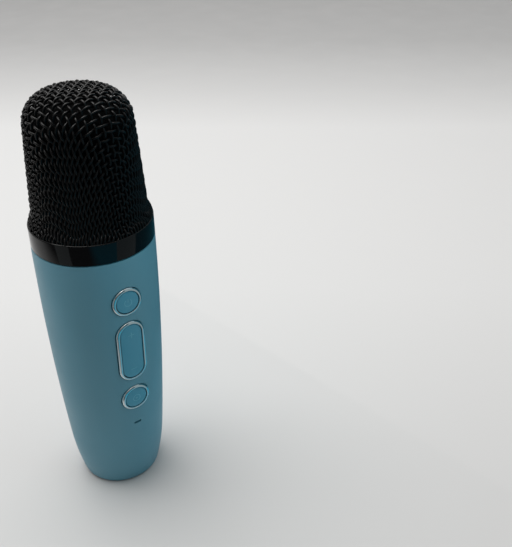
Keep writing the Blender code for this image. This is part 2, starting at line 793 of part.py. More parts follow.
def neck_insert():
    """Threaded sleeve, screwed down on the frame's flange; the head screws into it."""
    top, bottom, shelf = INSERT_TOP, INSERT_BOTTOM, INSERT_BOTTOM + INSERT_FLANGE
    profile = [
        (THREAD_BORE, top),
        (INSERT_RADIUS, top),
        (INSERT_RADIUS, bottom),
        (NECK_OPENING, bottom),
        (NECK_OPENING, shelf),
        (THREAD_BORE, shelf),
    ]
    holes = hole_pair(NECK_SCREW_X, bottom - 0.001, shelf + 0.001)
    finish(cut(turned(profile), *holes), "neck_insert", "frame_plastic")


def capsule_holder():
    """Tube that plugs into the neck's opening and carries the capsule on its deck."""
    foot, foot_radius, foot_height = INSERT_BOTTOM + INSERT_FLANGE + GAP, 0.0096, 0.0012
    plug_bottom, deck_thickness, chamfer = INSERT_BOTTOM - 0.0002, 0.0018, 0.0003
    profile = [
        (LEAD_HOLE, DECK_TOP),
        (DECK_RADIUS, DECK_TOP),
        (DECK_RADIUS, DECK_TOP - deck_thickness),
        (HOLDER_RADIUS, DECK_TOP - deck_thickness - chamfer),
        (HOLDER_RADIUS, foot + foot_height),
        (foot_radius, foot + foot_height),
        (foot_radius, foot),
        (HOLDER_RADIUS, foot),
        (HOLDER_RADIUS, plug_bottom),
        (HOLDER_BORE, plug_bottom),
        (HOLDER_BORE, DECK_TOP - deck_thickness),
        (LEAD_HOLE, DECK_TOP - deck_thickness),
    ]
    finish(turned(profile, MEDIUM_STEPS), "capsule_holder", "frame_plastic")


def capsule_boot():
    """Rubber cup that isolates the capsule from handling noise."""
    bottom = DECK_TOP + GAP
    floor, top, bore = bottom + BOOT_FLOOR, bottom + BOOT_HEIGHT, CAPSULE_RADIUS + GAP
    profile = [
        (bore, top),
        (DECK_RADIUS, top),
        (DECK_RADIUS, bottom),
        (LEAD_HOLE, bottom),
        (LEAD_HOLE, floor),
        (bore, floor),
    ]
    finish(turned(profile, MEDIUM_STEPS), "capsule_boot", "rubber")


def capsule_top():
    return DECK_TOP + GAP + BOOT_FLOOR + GAP + CAPSULE_HEIGHT


def mic_capsule():
    """Metal can with a shallow recessed face."""
    top, lip, recess, edge = capsule_top(), 0.0012, 0.0006, 0.0003
    profile = [
        (0.0, top - recess),
        (CAPSULE_RADIUS - lip, top - recess),
        (CAPSULE_RADIUS - lip, top),
        (CAPSULE_RADIUS - edge, top),
        (CAPSULE_RADIUS, top - edge),
        (CAPSULE_RADIUS, top - CAPSULE_HEIGHT),
        (0.0, top - CAPSULE_HEIGHT),
    ]
    finish(turned(profile, MEDIUM_STEPS, closed=False), "mic_capsule", "steel")


def foam_windscreen():
    """Foam cap pulled over the capsule and its boot. It fills the woven head, and is waisted at the
    bottom, where the head's rim lifts past it."""
    bore, bottom, chamfer = DECK_RADIUS + GAP, 0.0970, 0.0007
    ceiling, crown_count, corner_count = capsule_top() + 0.0004, 2, 6
    reach, out = FOAM_CROWN - FOAM_CORNER, FOAM_RADIUS - FOAM_CORNER
    crown_z = FOAM_TOP - FOAM_CROWN
    corner = (out, crown_z + math.sqrt(reach**2 - out**2))
    meet = math.atan2(corner[1] - crown_z, out)
    profile = arc((0.0, crown_z), FOAM_CROWN, math.pi / 2, meet, crown_count)
    profile += arc(corner, FOAM_CORNER, meet, 0.0, corner_count)[1:]
    profile += [
        (FOAM_RADIUS, FOAM_NECK_TOP + FOAM_RADIUS - FOAM_NECK),
        (FOAM_NECK, FOAM_NECK_TOP),
        (FOAM_NECK, bottom + chamfer),
        (FOAM_NECK - chamfer, bottom),
        (bore, bottom),
        (bore, ceiling),
        (0.0, ceiling),
    ]
    profile[0] = (0.0, FOAM_TOP)
    finish(turned(profile, MEDIUM_STEPS, closed=False), "foam_windscreen", "foam")


def grille_mesh():
    """The woven head as a plain skin that fills the weave's thickness. It flares out over the
    collar's top, and its hem drops inside the collar."""
    outside = grille_outline(0.0, 2, 6)[:-2]
    skirt_bottom, skirt_count = COLLAR_TOP + GAP, 4
    for index in range(skirt_count + 1):
        share = index / skirt_count
        height = SKIRT_TOP + (skirt_bottom - SKIRT_TOP) * share
        flare = SKIRT_FLARE * (1 - math.cos(math.pi * share)) / 2
        outside.append((GRILLE_RADIUS - GRILLE_TAPER * (height - COLLAR_TOP) + flare, height))
    outside += [(GRILLE_RADIUS, skirt_bottom), (GRILLE_RADIUS, GRILLE_HEM)]
    inside = grille_outline(GRILLE_THICKNESS, 2, 4)
    profile = [(0.0, outside[0][1])] + outside[1:] + inside[:0:-1] + [(0.0, inside[0][1])]
    finish(turned(profile, closed=False), "grille_mesh", "grille_black")


def collar_ring():
    """Gloss collar, flush with the handle. Its floor carries the head's rim."""
    floor_bore, edge = 0.0150, 0.00015
    bore = GRILLE_RADIUS + GAP + 0.00005
    profile = [
        (bore, COLLAR_TOP),
        (HANDLE_RADIUS - edge, COLLAR_TOP),
        (HANDLE_RADIUS, COLLAR_TOP - edge),
        (HANDLE_RADIUS, COLLAR_BOTTOM + edge),
        (HANDLE_RADIUS - edge, COLLAR_BOTTOM),
        (floor_bore, COLLAR_BOTTOM),
        (floor_bore, COLLAR_FLOOR),
        (bore, COLLAR_FLOOR),
    ]
    finish(turned(profile), "collar_ring", "collar_black")


def grille_rim():
    """Steel ring inside the head's hem; its lower half is the screw thread's band."""
    rim_radius, top, step, bottom = 0.0157, 0.0954, COLLAR_FLOOR + GAP, 0.0850
    upper_bore, lower_bore, taper, chamfer = 0.0143, 0.0133, 0.0016, 0.0003
    profile = [
        (upper_bore, top),
        (rim_radius, top),
        (rim_radius, step),
        (THREAD_RADIUS, step),
        (THREAD_RADIUS, bottom + chamfer),
        (THREAD_RADIUS - chamfer, bottom),
        (lower_bore, bottom),
        (lower_bore, step - taper),
        (upper_bore, step),
    ]
    finish(turned(profile), "grille_rim", "steel")


def collar_gasket():
    """Rubber washer between the neck and the collar."""
    inner, outer = THREAD_RADIUS + 0.0005, INSERT_RADIUS
    low, high = INSERT_TOP + GAP, COLLAR_BOTTOM - GAP
    profile = [(inner, high), (outer, high), (outer, low), (inner, low)]
    finish(turned(profile), "collar_gasket", "rubber")


handle_shell()
bezels()
caps()
light_pipe()
switches()
main_board()
board_parts()
battery()
leads()
charging_port()
chassis_frame()
screws()
neck_insert()
capsule_holder()
capsule_boot()
mic_capsule()
foam_windscreen()
grille_mesh()
collar_ring()
grille_rim()
collar_gasket()
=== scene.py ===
import json
import math

import bmesh
import bpy
import numpy as np
from mathutils import Matrix, Vector

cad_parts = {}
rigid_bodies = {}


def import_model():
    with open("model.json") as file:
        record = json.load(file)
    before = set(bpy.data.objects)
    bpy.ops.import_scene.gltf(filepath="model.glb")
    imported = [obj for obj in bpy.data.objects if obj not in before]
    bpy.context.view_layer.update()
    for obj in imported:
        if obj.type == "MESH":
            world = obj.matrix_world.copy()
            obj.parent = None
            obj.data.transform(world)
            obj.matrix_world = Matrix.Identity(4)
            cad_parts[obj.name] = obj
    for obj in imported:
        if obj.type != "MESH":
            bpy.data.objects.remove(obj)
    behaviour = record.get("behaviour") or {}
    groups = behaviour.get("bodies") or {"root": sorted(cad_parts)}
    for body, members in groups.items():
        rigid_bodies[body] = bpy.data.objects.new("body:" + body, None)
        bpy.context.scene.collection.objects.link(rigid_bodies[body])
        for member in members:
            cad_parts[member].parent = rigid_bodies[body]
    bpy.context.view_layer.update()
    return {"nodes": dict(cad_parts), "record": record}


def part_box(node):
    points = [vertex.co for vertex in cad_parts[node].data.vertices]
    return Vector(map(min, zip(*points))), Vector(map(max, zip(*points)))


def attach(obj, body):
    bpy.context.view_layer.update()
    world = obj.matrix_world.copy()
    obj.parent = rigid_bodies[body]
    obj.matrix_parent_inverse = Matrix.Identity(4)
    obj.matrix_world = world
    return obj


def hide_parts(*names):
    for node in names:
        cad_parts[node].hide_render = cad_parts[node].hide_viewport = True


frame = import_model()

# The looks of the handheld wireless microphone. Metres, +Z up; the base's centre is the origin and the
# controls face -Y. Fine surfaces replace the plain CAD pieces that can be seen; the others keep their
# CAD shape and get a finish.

# Handle: one long side arc and a tighter arc at its foot, as in the CAD.
HANDLE_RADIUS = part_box("handle_shell")[1].x
HANDLE_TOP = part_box("handle_shell")[1].z
WIDEST_Z = 0.088
SIDE_ARC = 0.938
TOE_ARC = 0.085
TOE_Z = 0.016
BASE_FILLET = 0.0015
RIM_FILLET = 0.00022
WALL = 0.0018
FLOOR = 0.0020

# Woven head: a tapered side, a corner arc, a shallow crown, and a skirt flared over the collar.
COLLAR_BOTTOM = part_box("collar_ring")[0].z
COLLAR_TOP = 0.0961
GRILLE_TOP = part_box("grille_mesh")[1].z
GRILLE_RADIUS = 0.0171
GRILLE_TAPER = 0.06
GRILLE_CORNER = 0.0093
GRILLE_CROWN = 0.085
SKIRT_TOP = 0.0997
SKIRT_BOTTOM = 0.0957
SKIRT_FLARE = 0.00105

# Wire cloth, and how it draws down and crowds once it bends over the head.
WIRE_RADIUS = 0.00033
WIRE_PITCH = 0.0021
WARP_PROUD = 0.00005
HEM_GAP = 0.0002
AXIS_DRAW = 0.94
DRAW_START = 0.010
DRAW_LENGTH = 0.011
SHEAR_DRAW = 0.64
SHEAR_CROWD = 0.41
WEAVE_TURN = math.radians(-84)

# Controls: height up the handle, radius of the trim ring, and half its straight length.
CONTROLS = {
    "power": (0.0754, 0.00470, 0.0),
    "volume": (0.0573, 0.00460, 0.0064),
    "mode": (0.0387, 0.00470, 0.0),
}
LED_Z = 0.0277
BEZEL_WIDTH = 0.00085
CAP_GAP = 0.00020
CAP_TOP = 0.00034
CAP_CROWN = 0.00022
STEM_TIP = 0.0127

TURN_STEPS = 192
THREAD_STEPS = 160

# Stage, seen along VIEW_AZIMUTH. Brightnesses are linear.
VIEW_AZIMUTH = math.atan2(0.799, 0.602)
# The floor's stops are a painted pool of light: its brightness along the view, brightest a little behind the
# object.
FLOOR_PAINTED_LIGHT_STOPS = [(0.0, 0.52), (0.22, 0.56), (0.34, 0.66), (0.52, 0.72), (0.60, 0.62), (0.72, 0.50), (1.0, 0.46)]
FLOOR_DROP = 0.00002
TENT_FRONT, TENT_BACK, TENT_TOP = 0.09, 0.63, 0.35
PLAIN_BACKDROP = (0.56, 0.57, 0.57)
LENS = 49.69
LENS_SHIFT = (-0.00548446, -0.03747715)
CAMERA_PLACE = (-0.0792, -0.1871, 0.1985)
CAMERA_PITCH = math.radians(-30.31)
CAMERA_ROLL = math.radians(-0.21)


# -------------------- outlines


def arc(centre, radius, start, end, count):
    """Points along an arc, both ends included."""
    points = []
    for index in range(count + 1):
        angle = start + (end - start) * index / count
        points.append((centre[0] + radius * math.cos(angle), centre[1] + radius * math.sin(angle)))
    return points


SIDE_CENTRE = (HANDLE_RADIUS - SIDE_ARC, WIDEST_Z)
TOE_ANGLE = math.asin((TOE_Z - WIDEST_Z) / SIDE_ARC)
TOE_CENTRE = (
    SIDE_CENTRE[0] + (SIDE_ARC - TOE_ARC) * math.cos(TOE_ANGLE),
    SIDE_CENTRE[1] + (SIDE_ARC - TOE_ARC) * math.sin(TOE_ANGLE),
)


def handle_outline(inset, top, floor, fillet, counts):
    """The handle's skin, or a surface inset from it, from the rim down to the floor's edge."""
    side_count, toe_count, fillet_count = counts
    start = math.asin((top - SIDE_CENTRE[1]) / (SIDE_ARC - inset))
    points = arc(SIDE_CENTRE, SIDE_ARC - inset, start, TOE_ANGLE, side_count)
    reach = TOE_ARC - inset - fillet
    fillet_z = floor + fillet
    fillet_r = TOE_CENTRE[0] + math.sqrt(reach**2 - (fillet_z - TOE_CENTRE[1]) ** 2)
    end = math.atan2(fillet_z - TOE_CENTRE[1], fillet_r - TOE_CENTRE[0])
    points += arc(TOE_CENTRE, TOE_ARC - inset, TOE_ANGLE, end, toe_count)[1:]
    points += arc((fillet_r, fillet_z), fillet, end, -math.pi / 2, fillet_count)[1:]
    return points


def skin_radius(z):
    """The handle's outer radius at a height."""
    if z >= TOE_Z:
        return SIDE_CENTRE[0] + math.sqrt(SIDE_ARC**2 - (z - SIDE_CENTRE[1]) ** 2)
    return TOE_CENTRE[0] + math.sqrt(TOE_ARC**2 - (z - TOE_CENTRE[1]) ** 2)


def skin_frame(z):
    """Matrix of a control's local frame: X across, Y up along the skin, Z out of it."""
    tilt = math.atan2(WIDEST_Z - z, skin_radius(z) - SIDE_CENTRE[0])
    return Matrix.Translation((0, -skin_radius(z), z)) @ Matrix.Rotation(math.pi / 2 + tilt, 4, "X")


def head_outline(count=400):
    """The woven head's mid-surface from crown to hem: evenly spaced radii, heights and lengths along it."""
    inset = 2 * WIRE_RADIUS
    lean = math.hypot(1, GRILLE_TAPER)
    crown_z = GRILLE_TOP - GRILLE_CROWN
    reach = GRILLE_CROWN - GRILLE_CORNER
    offset = GRILLE_RADIUS + GRILLE_TAPER * COLLAR_TOP - GRILLE_CORNER * lean
    a = 1 + GRILLE_TAPER**2
    b = offset * GRILLE_TAPER + crown_z
    c = offset**2 + crown_z**2 - reach**2
    corner_z = (b + math.sqrt(b**2 - a * c)) / a
    corner = (offset - GRILLE_TAPER * corner_z, corner_z)
    meet = math.atan2(corner[1] - crown_z, corner[0])
    points = arc((0.0, crown_z), GRILLE_CROWN - inset, math.pi / 2, meet, 60)
    points += arc(corner, GRILLE_CORNER - inset, meet, math.atan(GRILLE_TAPER), 90)[1:]
    skirt_rows, flare_end = 24, 1.08
    for index in range(skirt_rows + 1):
        share = index / skirt_rows
        z = SKIRT_TOP + (SKIRT_BOTTOM - SKIRT_TOP) * share
        flare = SKIRT_FLARE * (1 - math.cos(math.pi * min(1.0, share * flare_end))) / 2
        points.append((GRILLE_RADIUS - GRILLE_TAPER * (z - COLLAR_TOP) + flare - inset, z))
    points = np.array(points)
    lengths = np.concatenate([[0], np.cumsum(np.hypot(*np.diff(points, axis=0).T))])
    even = np.linspace(0, lengths[-1], count)
    return np.interp(even, lengths, points[:, 0]), np.interp(even, lengths, points[:, 1]), even


# -------------------- mesh helpers


def link(data, name):
    """An object in the scene for a mesh, curve, light or camera."""
    obj = bpy.data.objects.new(name, data)
    bpy.context.scene.collection.objects.link(obj)
    return obj


def finished(shape, name):
    """A mesh from a bmesh, which is freed."""
    mesh = bpy.data.meshes.new(name)
    shape.to_mesh(mesh)
    shape.free()
    return mesh


def evaluated(obj):
    """An object's mesh with its modifiers or curve settings applied. The object is removed."""
    bpy.context.view_layer.update()
    graph = bpy.context.evaluated_depsgraph_get()
    mesh = bpy.data.meshes.new_from_object(obj.evaluated_get(graph), depsgraph=graph)
    bpy.data.objects.remove(obj)
    return mesh


def smooth(mesh, degrees=35):
    mesh.shade_smooth()
    mesh.set_sharp_from_angle(angle=math.radians(degrees))
    return mesh


def grid_mesh(points, close_rows, name):
    """A mesh from a rows x columns x 3 array. Its columns wrap round, and its rows can."""
    rows, columns = points.shape[:2]
    index = np.arange(rows * columns).reshape(rows, columns)
    if close_rows:
        index = np.vstack([index, index[:1]])
    index = np.hstack([index, index[:, :1]])
    quads = np.stack([index[:-1, :-1], index[:-1, 1:], index[1:, 1:], index[1:, :-1]], axis=-1)
    mesh = bpy.data.meshes.new(name)
    mesh.from_pydata(points.reshape(-1, 3).tolist(), [], quads.reshape(-1, 4).tolist())
    return mesh


def welded(mesh, distance=1e-7):
    """Joins points that coincide and turns the faces outwards."""
    shape = bmesh.new()
    shape.from_mesh(mesh)
    bmesh.ops.remove_doubles(shape, verts=shape.verts, dist=distance)
    bmesh.ops.dissolve_degenerate(shape, edges=shape.edges, dist=distance)
    bmesh.ops.recalc_face_normals(shape, faces=shape.faces)
    shape.to_mesh(mesh)
    shape.free()
    return mesh


def turned(profile, steps=TURN_STEPS, closed=True, name="turned"):
    """A solid of revolution; an open profile starts and ends on the axis."""
    angles = np.arange(steps) * 2 * math.pi / steps
    radius, height = np.array(profile).T
    points = np.empty((len(profile), steps, 3))
    points[..., 0] = radius[:, None] * np.cos(angles)
    points[..., 1] = radius[:, None] * np.sin(angles)
    points[..., 2] = height[:, None]
    return smooth(welded(grid_mesh(points, closed, name)))


def slot_outline(radius, half, steps, side_steps):
    """Points round a slot with round ends; every radius gives the same count."""
    points = []
    for end, start in ((1, 0.0), (-1, math.pi)):
        for index in range(steps + 1):
            angle = start + math.pi * index / steps
            points.append((radius * math.cos(angle), radius * math.sin(angle) + end * half))
        for index in range(1, side_steps):
            y = end * half * (1 - 2 * index / side_steps)
            points.append((-end * radius, y))
    return points


def slot_solid(profile, half, steps=40, side_steps=24, closed=True, name="slot"):
    """Sweeps a (radius, height) profile round a slot. Radius 0 closes it along the centre line."""
    if half == 0.0:
        side_steps = 1
    rings = []
    for radius, height in profile:
        ring = slot_outline(radius, half, steps, side_steps)
        rings.append([(x, y, height) for x, y in ring])
    return smooth(welded(grid_mesh(np.array(rings), closed, name)))


def boolean(mesh, operands, operation):
    """One EXACT Boolean of a mesh with several others."""
    base = link(mesh, "boolean_base")
    group = bpy.data.collections.new("operands")
    bpy.context.scene.collection.children.link(group)
    for operand in operands:
        group.objects.link(bpy.data.objects.new("operand", operand))
    modifier = base.modifiers.new("boolean", "BOOLEAN")
    modifier.operation = operation
    modifier.solver = "EXACT"
    modifier.operand_type = "COLLECTION"
    modifier.collection = group
    made = evaluated(base)
    for obj in list(group.objects):
        bpy.data.objects.remove(obj)
    bpy.data.collections.remove(group)
    return smooth(made)


def cylinder(start, end, radius, steps=32):
    """A capped cylinder between two points."""
    start, end = Vector(start), Vector(end)
    shape = bmesh.new()
    bmesh.ops.create_cone(
        shape,
        cap_ends=True,
        segments=steps,
        radius1=radius,
        radius2=radius,
        depth=(end - start).length,
    )
    turn = (end - start).to_track_quat("Z", "Y").to_matrix().to_4x4()
    shape.transform(Matrix.Translation((start + end) / 2) @ turn)
    return finished(shape, "cylinder")


def moved(mesh, matrix):
    mesh.transform(matrix)
    return mesh


def piece(mesh, name, body, material, replaced=()):
    """Puts a finished mesh in the scene on its body."""
    mesh.materials.clear()
    mesh.materials.append(material)
    obj = link(mesh, name)
    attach(obj, body)
    if replaced:
        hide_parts(*replaced)
    return obj


# -------------------- materials


class Finish:
    """A Principled material and the small node graph that drives it, in object coordinates."""

    def __init__(self, name, colour, roughness=0.5, metallic=0.0, specular=0.5):
        self.material = bpy.data.materials.new(name)
        self.material.use_nodes = True
        self.tree = self.material.node_tree
        self.shader = self.tree.nodes["Principled BSDF"]
        self.shader.inputs["Base Color"].default_value = (*colour, 1.0)
        self.shader.inputs["Roughness"].default_value = roughness
        self.shader.inputs["Metallic"].default_value = metallic
        self.shader.inputs["Specular IOR Level"].default_value = specular
        self.coordinates = self.node("ShaderNodeTexCoord").outputs["Object"]
        self.height = None

    def node(self, kind, **values):
        node = self.tree.nodes.new(kind)
        for key, value in values.items():
            setattr(node, key, value)
        return node

    def link(self, source, target):
        self.tree.links.new(source, target)

    def set(self, socket, value):
        self.shader.inputs[socket].default_value = value
        return self

    def stretched(self, scale=(1, 1, 1), turn=(0, 0, 0)):
        mapping = self.node("ShaderNodeMapping")
        mapping.inputs["Scale"].default_value = scale
        mapping.inputs["Rotation"].default_value = turn
        self.link(self.coordinates, mapping.inputs["Vector"])
        return mapping.outputs["Vector"]

    def noise(self, scale, detail=2.0, roughness=0.5, stretch=None):
        noise = self.node("ShaderNodeTexNoise")
        noise.inputs["Scale"].default_value = scale
        noise.inputs["Detail"].default_value = detail
        noise.inputs["Roughness"].default_value = roughness
        self.link(self.stretched(stretch) if stretch else self.coordinates, noise.inputs["Vector"])
        return noise.outputs["Fac"]

    def voronoi(self, scale):
        cells = self.node("ShaderNodeTexVoronoi")
        cells.inputs["Scale"].default_value = scale
        self.link(self.coordinates, cells.inputs["Vector"])
        return cells.outputs["Distance"]

    def ranged(self, value, low, high, from_low=0.3, from_high=0.7):
        node = self.node("ShaderNodeMapRange")
        node.inputs["From Min"].default_value = from_low
        node.inputs["From Max"].default_value = from_high
        node.inputs["To Min"].default_value = low
        node.inputs["To Max"].default_value = high
        self.link(value, node.inputs["Value"])
        return node.outputs["Result"]

    def vary_roughness(self, value, low, high):
        self.link(self.ranged(value, low, high), self.shader.inputs["Roughness"])
        return self

    def vary_colour(self, value, first, second, from_low=0.3, from_high=0.7):
        mix = self.node("ShaderNodeMix", data_type="RGBA")
        mix.inputs["A"].default_value = (*first, 1.0)
        mix.inputs["B"].default_value = (*second, 1.0)
        self.link(self.ranged(value, 0.0, 1.0, from_low, from_high), mix.inputs["Factor"])
        self.link(mix.outputs["Result"], self.shader.inputs["Base Color"])
        return self

    def bump(self, value, distance, strength=1.0):
        """Adds one more layer of surface height."""
        bump = self.node("ShaderNodeBump")
        bump.inputs["Distance"].default_value = distance
        bump.inputs["Strength"].default_value = strength
        self.link(value, bump.inputs["Height"])
        if self.height is not None:
            self.link(self.height, bump.inputs["Normal"])
        self.height = bump.outputs["Normal"]
        self.link(self.height, self.shader.inputs["Normal"])
        return self


def scaled(colour, factor):
    return tuple(channel * factor for channel in colour)


def satin_plastic(name, colour, roughness=0.42):
    """Fine spark-eroded texture with faint flow marks and a few handling smudges."""
    finish = Finish(name, colour, roughness, specular=0.45)
    grain = finish.noise(5200, 2.0)
    smudge = finish.noise(70, 3.0, 0.6)
    flow = finish.noise(45, 2.0, stretch=(1, 1, 0.35))
    finish.vary_colour(flow, scaled(colour, 0.94), scaled(colour, 1.05))
    finish.vary_roughness(smudge, roughness - 0.05, roughness + 0.06)
    finish.bump(grain, 0.000012, 0.5)
    finish.bump(finish.noise(420, 1.0), 0.00001, 0.25)
    return finish.material


def gloss_black():
    finish = Finish("gloss_black", (0.0020, 0.0021, 0.0026), 0.08, specular=0.26)
    finish.vary_roughness(finish.noise(90, 4.0, 0.65), 0.04, 0.12)
    finish.vary_colour(finish.noise(60), (0.0018, 0.0019, 0.0024), (0.0030, 0.0032, 0.0037))
    finish.bump(finish.noise(160, 1.0), 0.000012, 0.2)
    return finish.material


def painted_wire():
    """Baked black paint over wire, varying at random, with small pits."""
    finish = Finish("painted_wire", (0.0020, 0.0020, 0.0023), 0.34, specular=0.27)
    finish.vary_colour(finish.noise(600, 3.0), (0.0012, 0.0012, 0.0014), (0.0026, 0.0026, 0.0029))
    finish.vary_roughness(finish.noise(900, 3.0), 0.26, 0.42)
    finish.bump(finish.noise(4500, 2.0), 0.00001, 0.5)
    return finish.material


def chrome():
    finish = Finish("chrome", (0.82, 0.90, 0.92), 0.07, 1.0)
    finish.vary_roughness(finish.noise(900, 3.0), 0.04, 0.11)
    finish.vary_colour(finish.noise(300), (0.78, 0.87, 0.89), (0.85, 0.93, 0.95))
    finish.bump(finish.noise(2600, 2.0), 0.000003, 0.3)
    return finish.material


def steel(name="steel", colour=(0.52, 0.52, 0.53), roughness=0.3):
    finish = Finish(name, colour, roughness, 1.0)
    streaks = finish.noise(900, 3.0, stretch=(1, 1, 14))
    finish.vary_roughness(streaks, roughness - 0.08, roughness + 0.12)
    finish.vary_colour(finish.noise(260, 3.0), scaled(colour, 0.85), scaled(colour, 1.08))
    finish.bump(streaks, 0.000008, 0.5)
    return finish.material


def moulded(name, colour, roughness, scale=1800, depth=0.00002):
    """Plain moulded plastic with a light texture and flow marks."""
    finish = Finish(name, colour, roughness, specular=0.45)
    finish.vary_colour(finish.noise(160, 2.0), scaled(colour, 0.88), scaled(colour, 1.12))
    finish.vary_roughness(finish.noise(240, 2.0), roughness - 0.08, roughness + 0.08)
    finish.bump(finish.noise(scale, 2.0), depth, 0.5)
    return finish.material


def rubber():
    finish = Finish("soft_rubber", (0.014, 0.014, 0.015), 0.8, specular=0.3)
    finish.vary_colour(finish.noise(500, 3.0), (0.010, 0.010, 0.010), (0.022, 0.022, 0.022))
    finish.vary_roughness(finish.noise(320, 2.0), 0.7, 0.9)
    finish.bump(finish.noise(2600, 3.0), 0.00003, 0.6)
    return finish.material


def open_foam():
    """Open-cell foam: painted shade darkens the pores between the lighter struts."""
    finish = Finish("open_foam", (0.002, 0.002, 0.0022), 1.0, specular=0.04)
    cells = finish.voronoi(2300)
    # Painted shade: the colour is darkest in each cell's middle, in the pores, and lighter on the struts.
    finish.vary_colour(cells, (0.0006, 0.0006, 0.0008), (0.0024, 0.0024, 0.0027), 0.1, 0.6)
    finish.set("Sheen Weight", 0.02)
    finish.bump(cells, 0.0002, 0.8)
    finish.link(finish.ranged(cells, 0.85, 1.0), finish.shader.inputs["Roughness"])
    return finish.material


def circuit_board():
    """Solder mask with tracks and tinned pads showing through."""
    finish = Finish("circuit_board", (0.012, 0.11, 0.045), 0.35)
    brick = finish.node("ShaderNodeTexBrick", offset=0.5)
    brick.inputs["Scale"].default_value = 260
    brick.inputs["Color1"].default_value = (0.010, 0.105, 0.042, 1)
    brick.inputs["Color2"].default_value = (0.013, 0.125, 0.052, 1)
    brick.inputs["Mortar"].default_value = (0.020, 0.165, 0.075, 1)
    brick.inputs["Mortar Size"].default_value = 0.05
    finish.link(finish.stretched(turn=(math.pi / 2, 0, 0)), brick.inputs["Vector"])
    finish.link(brick.outputs["Color"], finish.shader.inputs["Base Color"])
    finish.vary_roughness(finish.noise(700, 2.0), 0.28, 0.45)
    finish.bump(brick.outputs["Fac"], 0.00003, 0.6)
    return finish.material


def cell_sleeve():
    """Shrink sleeve with lengthwise creases."""
    colour = (0.07, 0.20, 0.48)
    finish = Finish("cell_sleeve", colour, 0.3)
    creases = finish.noise(420, 3.0, stretch=(1, 1, 0.08))
    # Painted shade: the colour follows the creases' height, darker in their hollows and lighter on their
    # ridges.
    finish.vary_colour(creases, scaled(colour, 0.8), scaled(colour, 1.1))
    finish.vary_roughness(finish.noise(200, 2.0), 0.22, 0.42)
    finish.bump(creases, 0.00006, 0.5)
    finish.set("Coat Weight", 0.3)
    return finish.material


def ceramic():
    colour = (0.78, 0.75, 0.66)
    finish = Finish("fired_ceramic", colour, 0.35)
    finish.vary_colour(finish.noise(2500, 3.0), scaled(colour, 0.86), scaled(colour, 1.05))
    finish.vary_roughness(finish.noise(1200), 0.28, 0.48)
    finish.bump(finish.noise(5000), 0.00001, 0.5)
    return finish.material


def clear_plastic():
    finish = Finish("clear_plastic", (0.80, 0.86, 0.90), 0.12)
    finish.set("Transmission Weight", 0.75).set("IOR", 1.49)
    finish.vary_roughness(finish.noise(1500), 0.08, 0.25)
    finish.bump(finish.noise(2000), 0.00001, 0.3)
    return finish.material


def insulation(name, colour):
    finish = Finish(name, colour, 0.45)
    finish.vary_colour(finish.noise(600, 2.0), scaled(colour, 0.8), scaled(colour, 1.15))
    finish.vary_roughness(finish.noise(900), 0.36, 0.55)
    finish.bump(finish.noise(2200, 2.0), 0.00002, 0.5)
    return finish.material


BODY_COLOUR = (0.083, 0.256, 0.340)
CAP_COLOUR = (0.053, 0.268, 0.385)
MATERIALS = {
    "body_blue": satin_plastic("satin_blue", BODY_COLOUR),
    "cap_blue": satin_plastic("satin_blue_caps", CAP_COLOUR, 0.36),
    "mark_blue": satin_plastic("print_blue", (0.10, 0.36, 0.47), 0.35),
    "collar_black": gloss_black(),
    "grille_black": painted_wire(),
    "chrome": chrome(),
    "steel": steel(),
    "frame_plastic": moulded("frame_black", (0.022, 0.022, 0.025), 0.55),
    "rubber": rubber(),
    "foam": open_foam(),
    "board": circuit_board(),
    "chip": moulded("epoxy_black", (0.018, 0.018, 0.019), 0.5, 3500, 0.00001),
    "ceramic": ceramic(),
    "cell_sleeve": cell_sleeve(),
    "white_plastic": moulded("moulded_white", (0.76, 0.76, 0.72), 0.42),
    "clear": clear_plastic(),
    "wire_red": insulation("insulation_red", (0.55, 0.025, 0.018)),
    "wire_black": insulation("insulation_black", (0.016, 0.016, 0.017)),
}


# -------------------- handle


def analytic_normals(mesh):
    """Gives the turned skin its exact normals, so that cut edges leave no shading marks on it."""
    on_skin, facing_out = 4e-5, 0.9
    normals = [(0.0, 0.0, 0.0)] * len(mesh.loops)
    for polygon in mesh.polygons:
        centre = polygon.center
        outward = Vector((centre.x, centre.y, 0.0))
        if centre.z < 2 * BASE_FILLET or centre.z > HANDLE_TOP - 2 * RIM_FILLET:
            continue
        if abs(outward.length - skin_radius(centre.z)) > on_skin:
            continue
        if polygon.normal.dot(outward.normalized()) < facing_out:
            continue
        for loop in polygon.loop_indices:
            point = mesh.vertices[mesh.loops[loop].vertex_index].co
            hub = SIDE_CENTRE if point.z >= TOE_Z else TOE_CENTRE
            radius = math.hypot(point.x, point.y)
            slope = (point.z - hub[1]) / (radius - hub[0])
            normals[loop] = Vector((point.x / radius, point.y / radius, slope)).normalized()[:]
    mesh.normals_split_custom_set(normals)


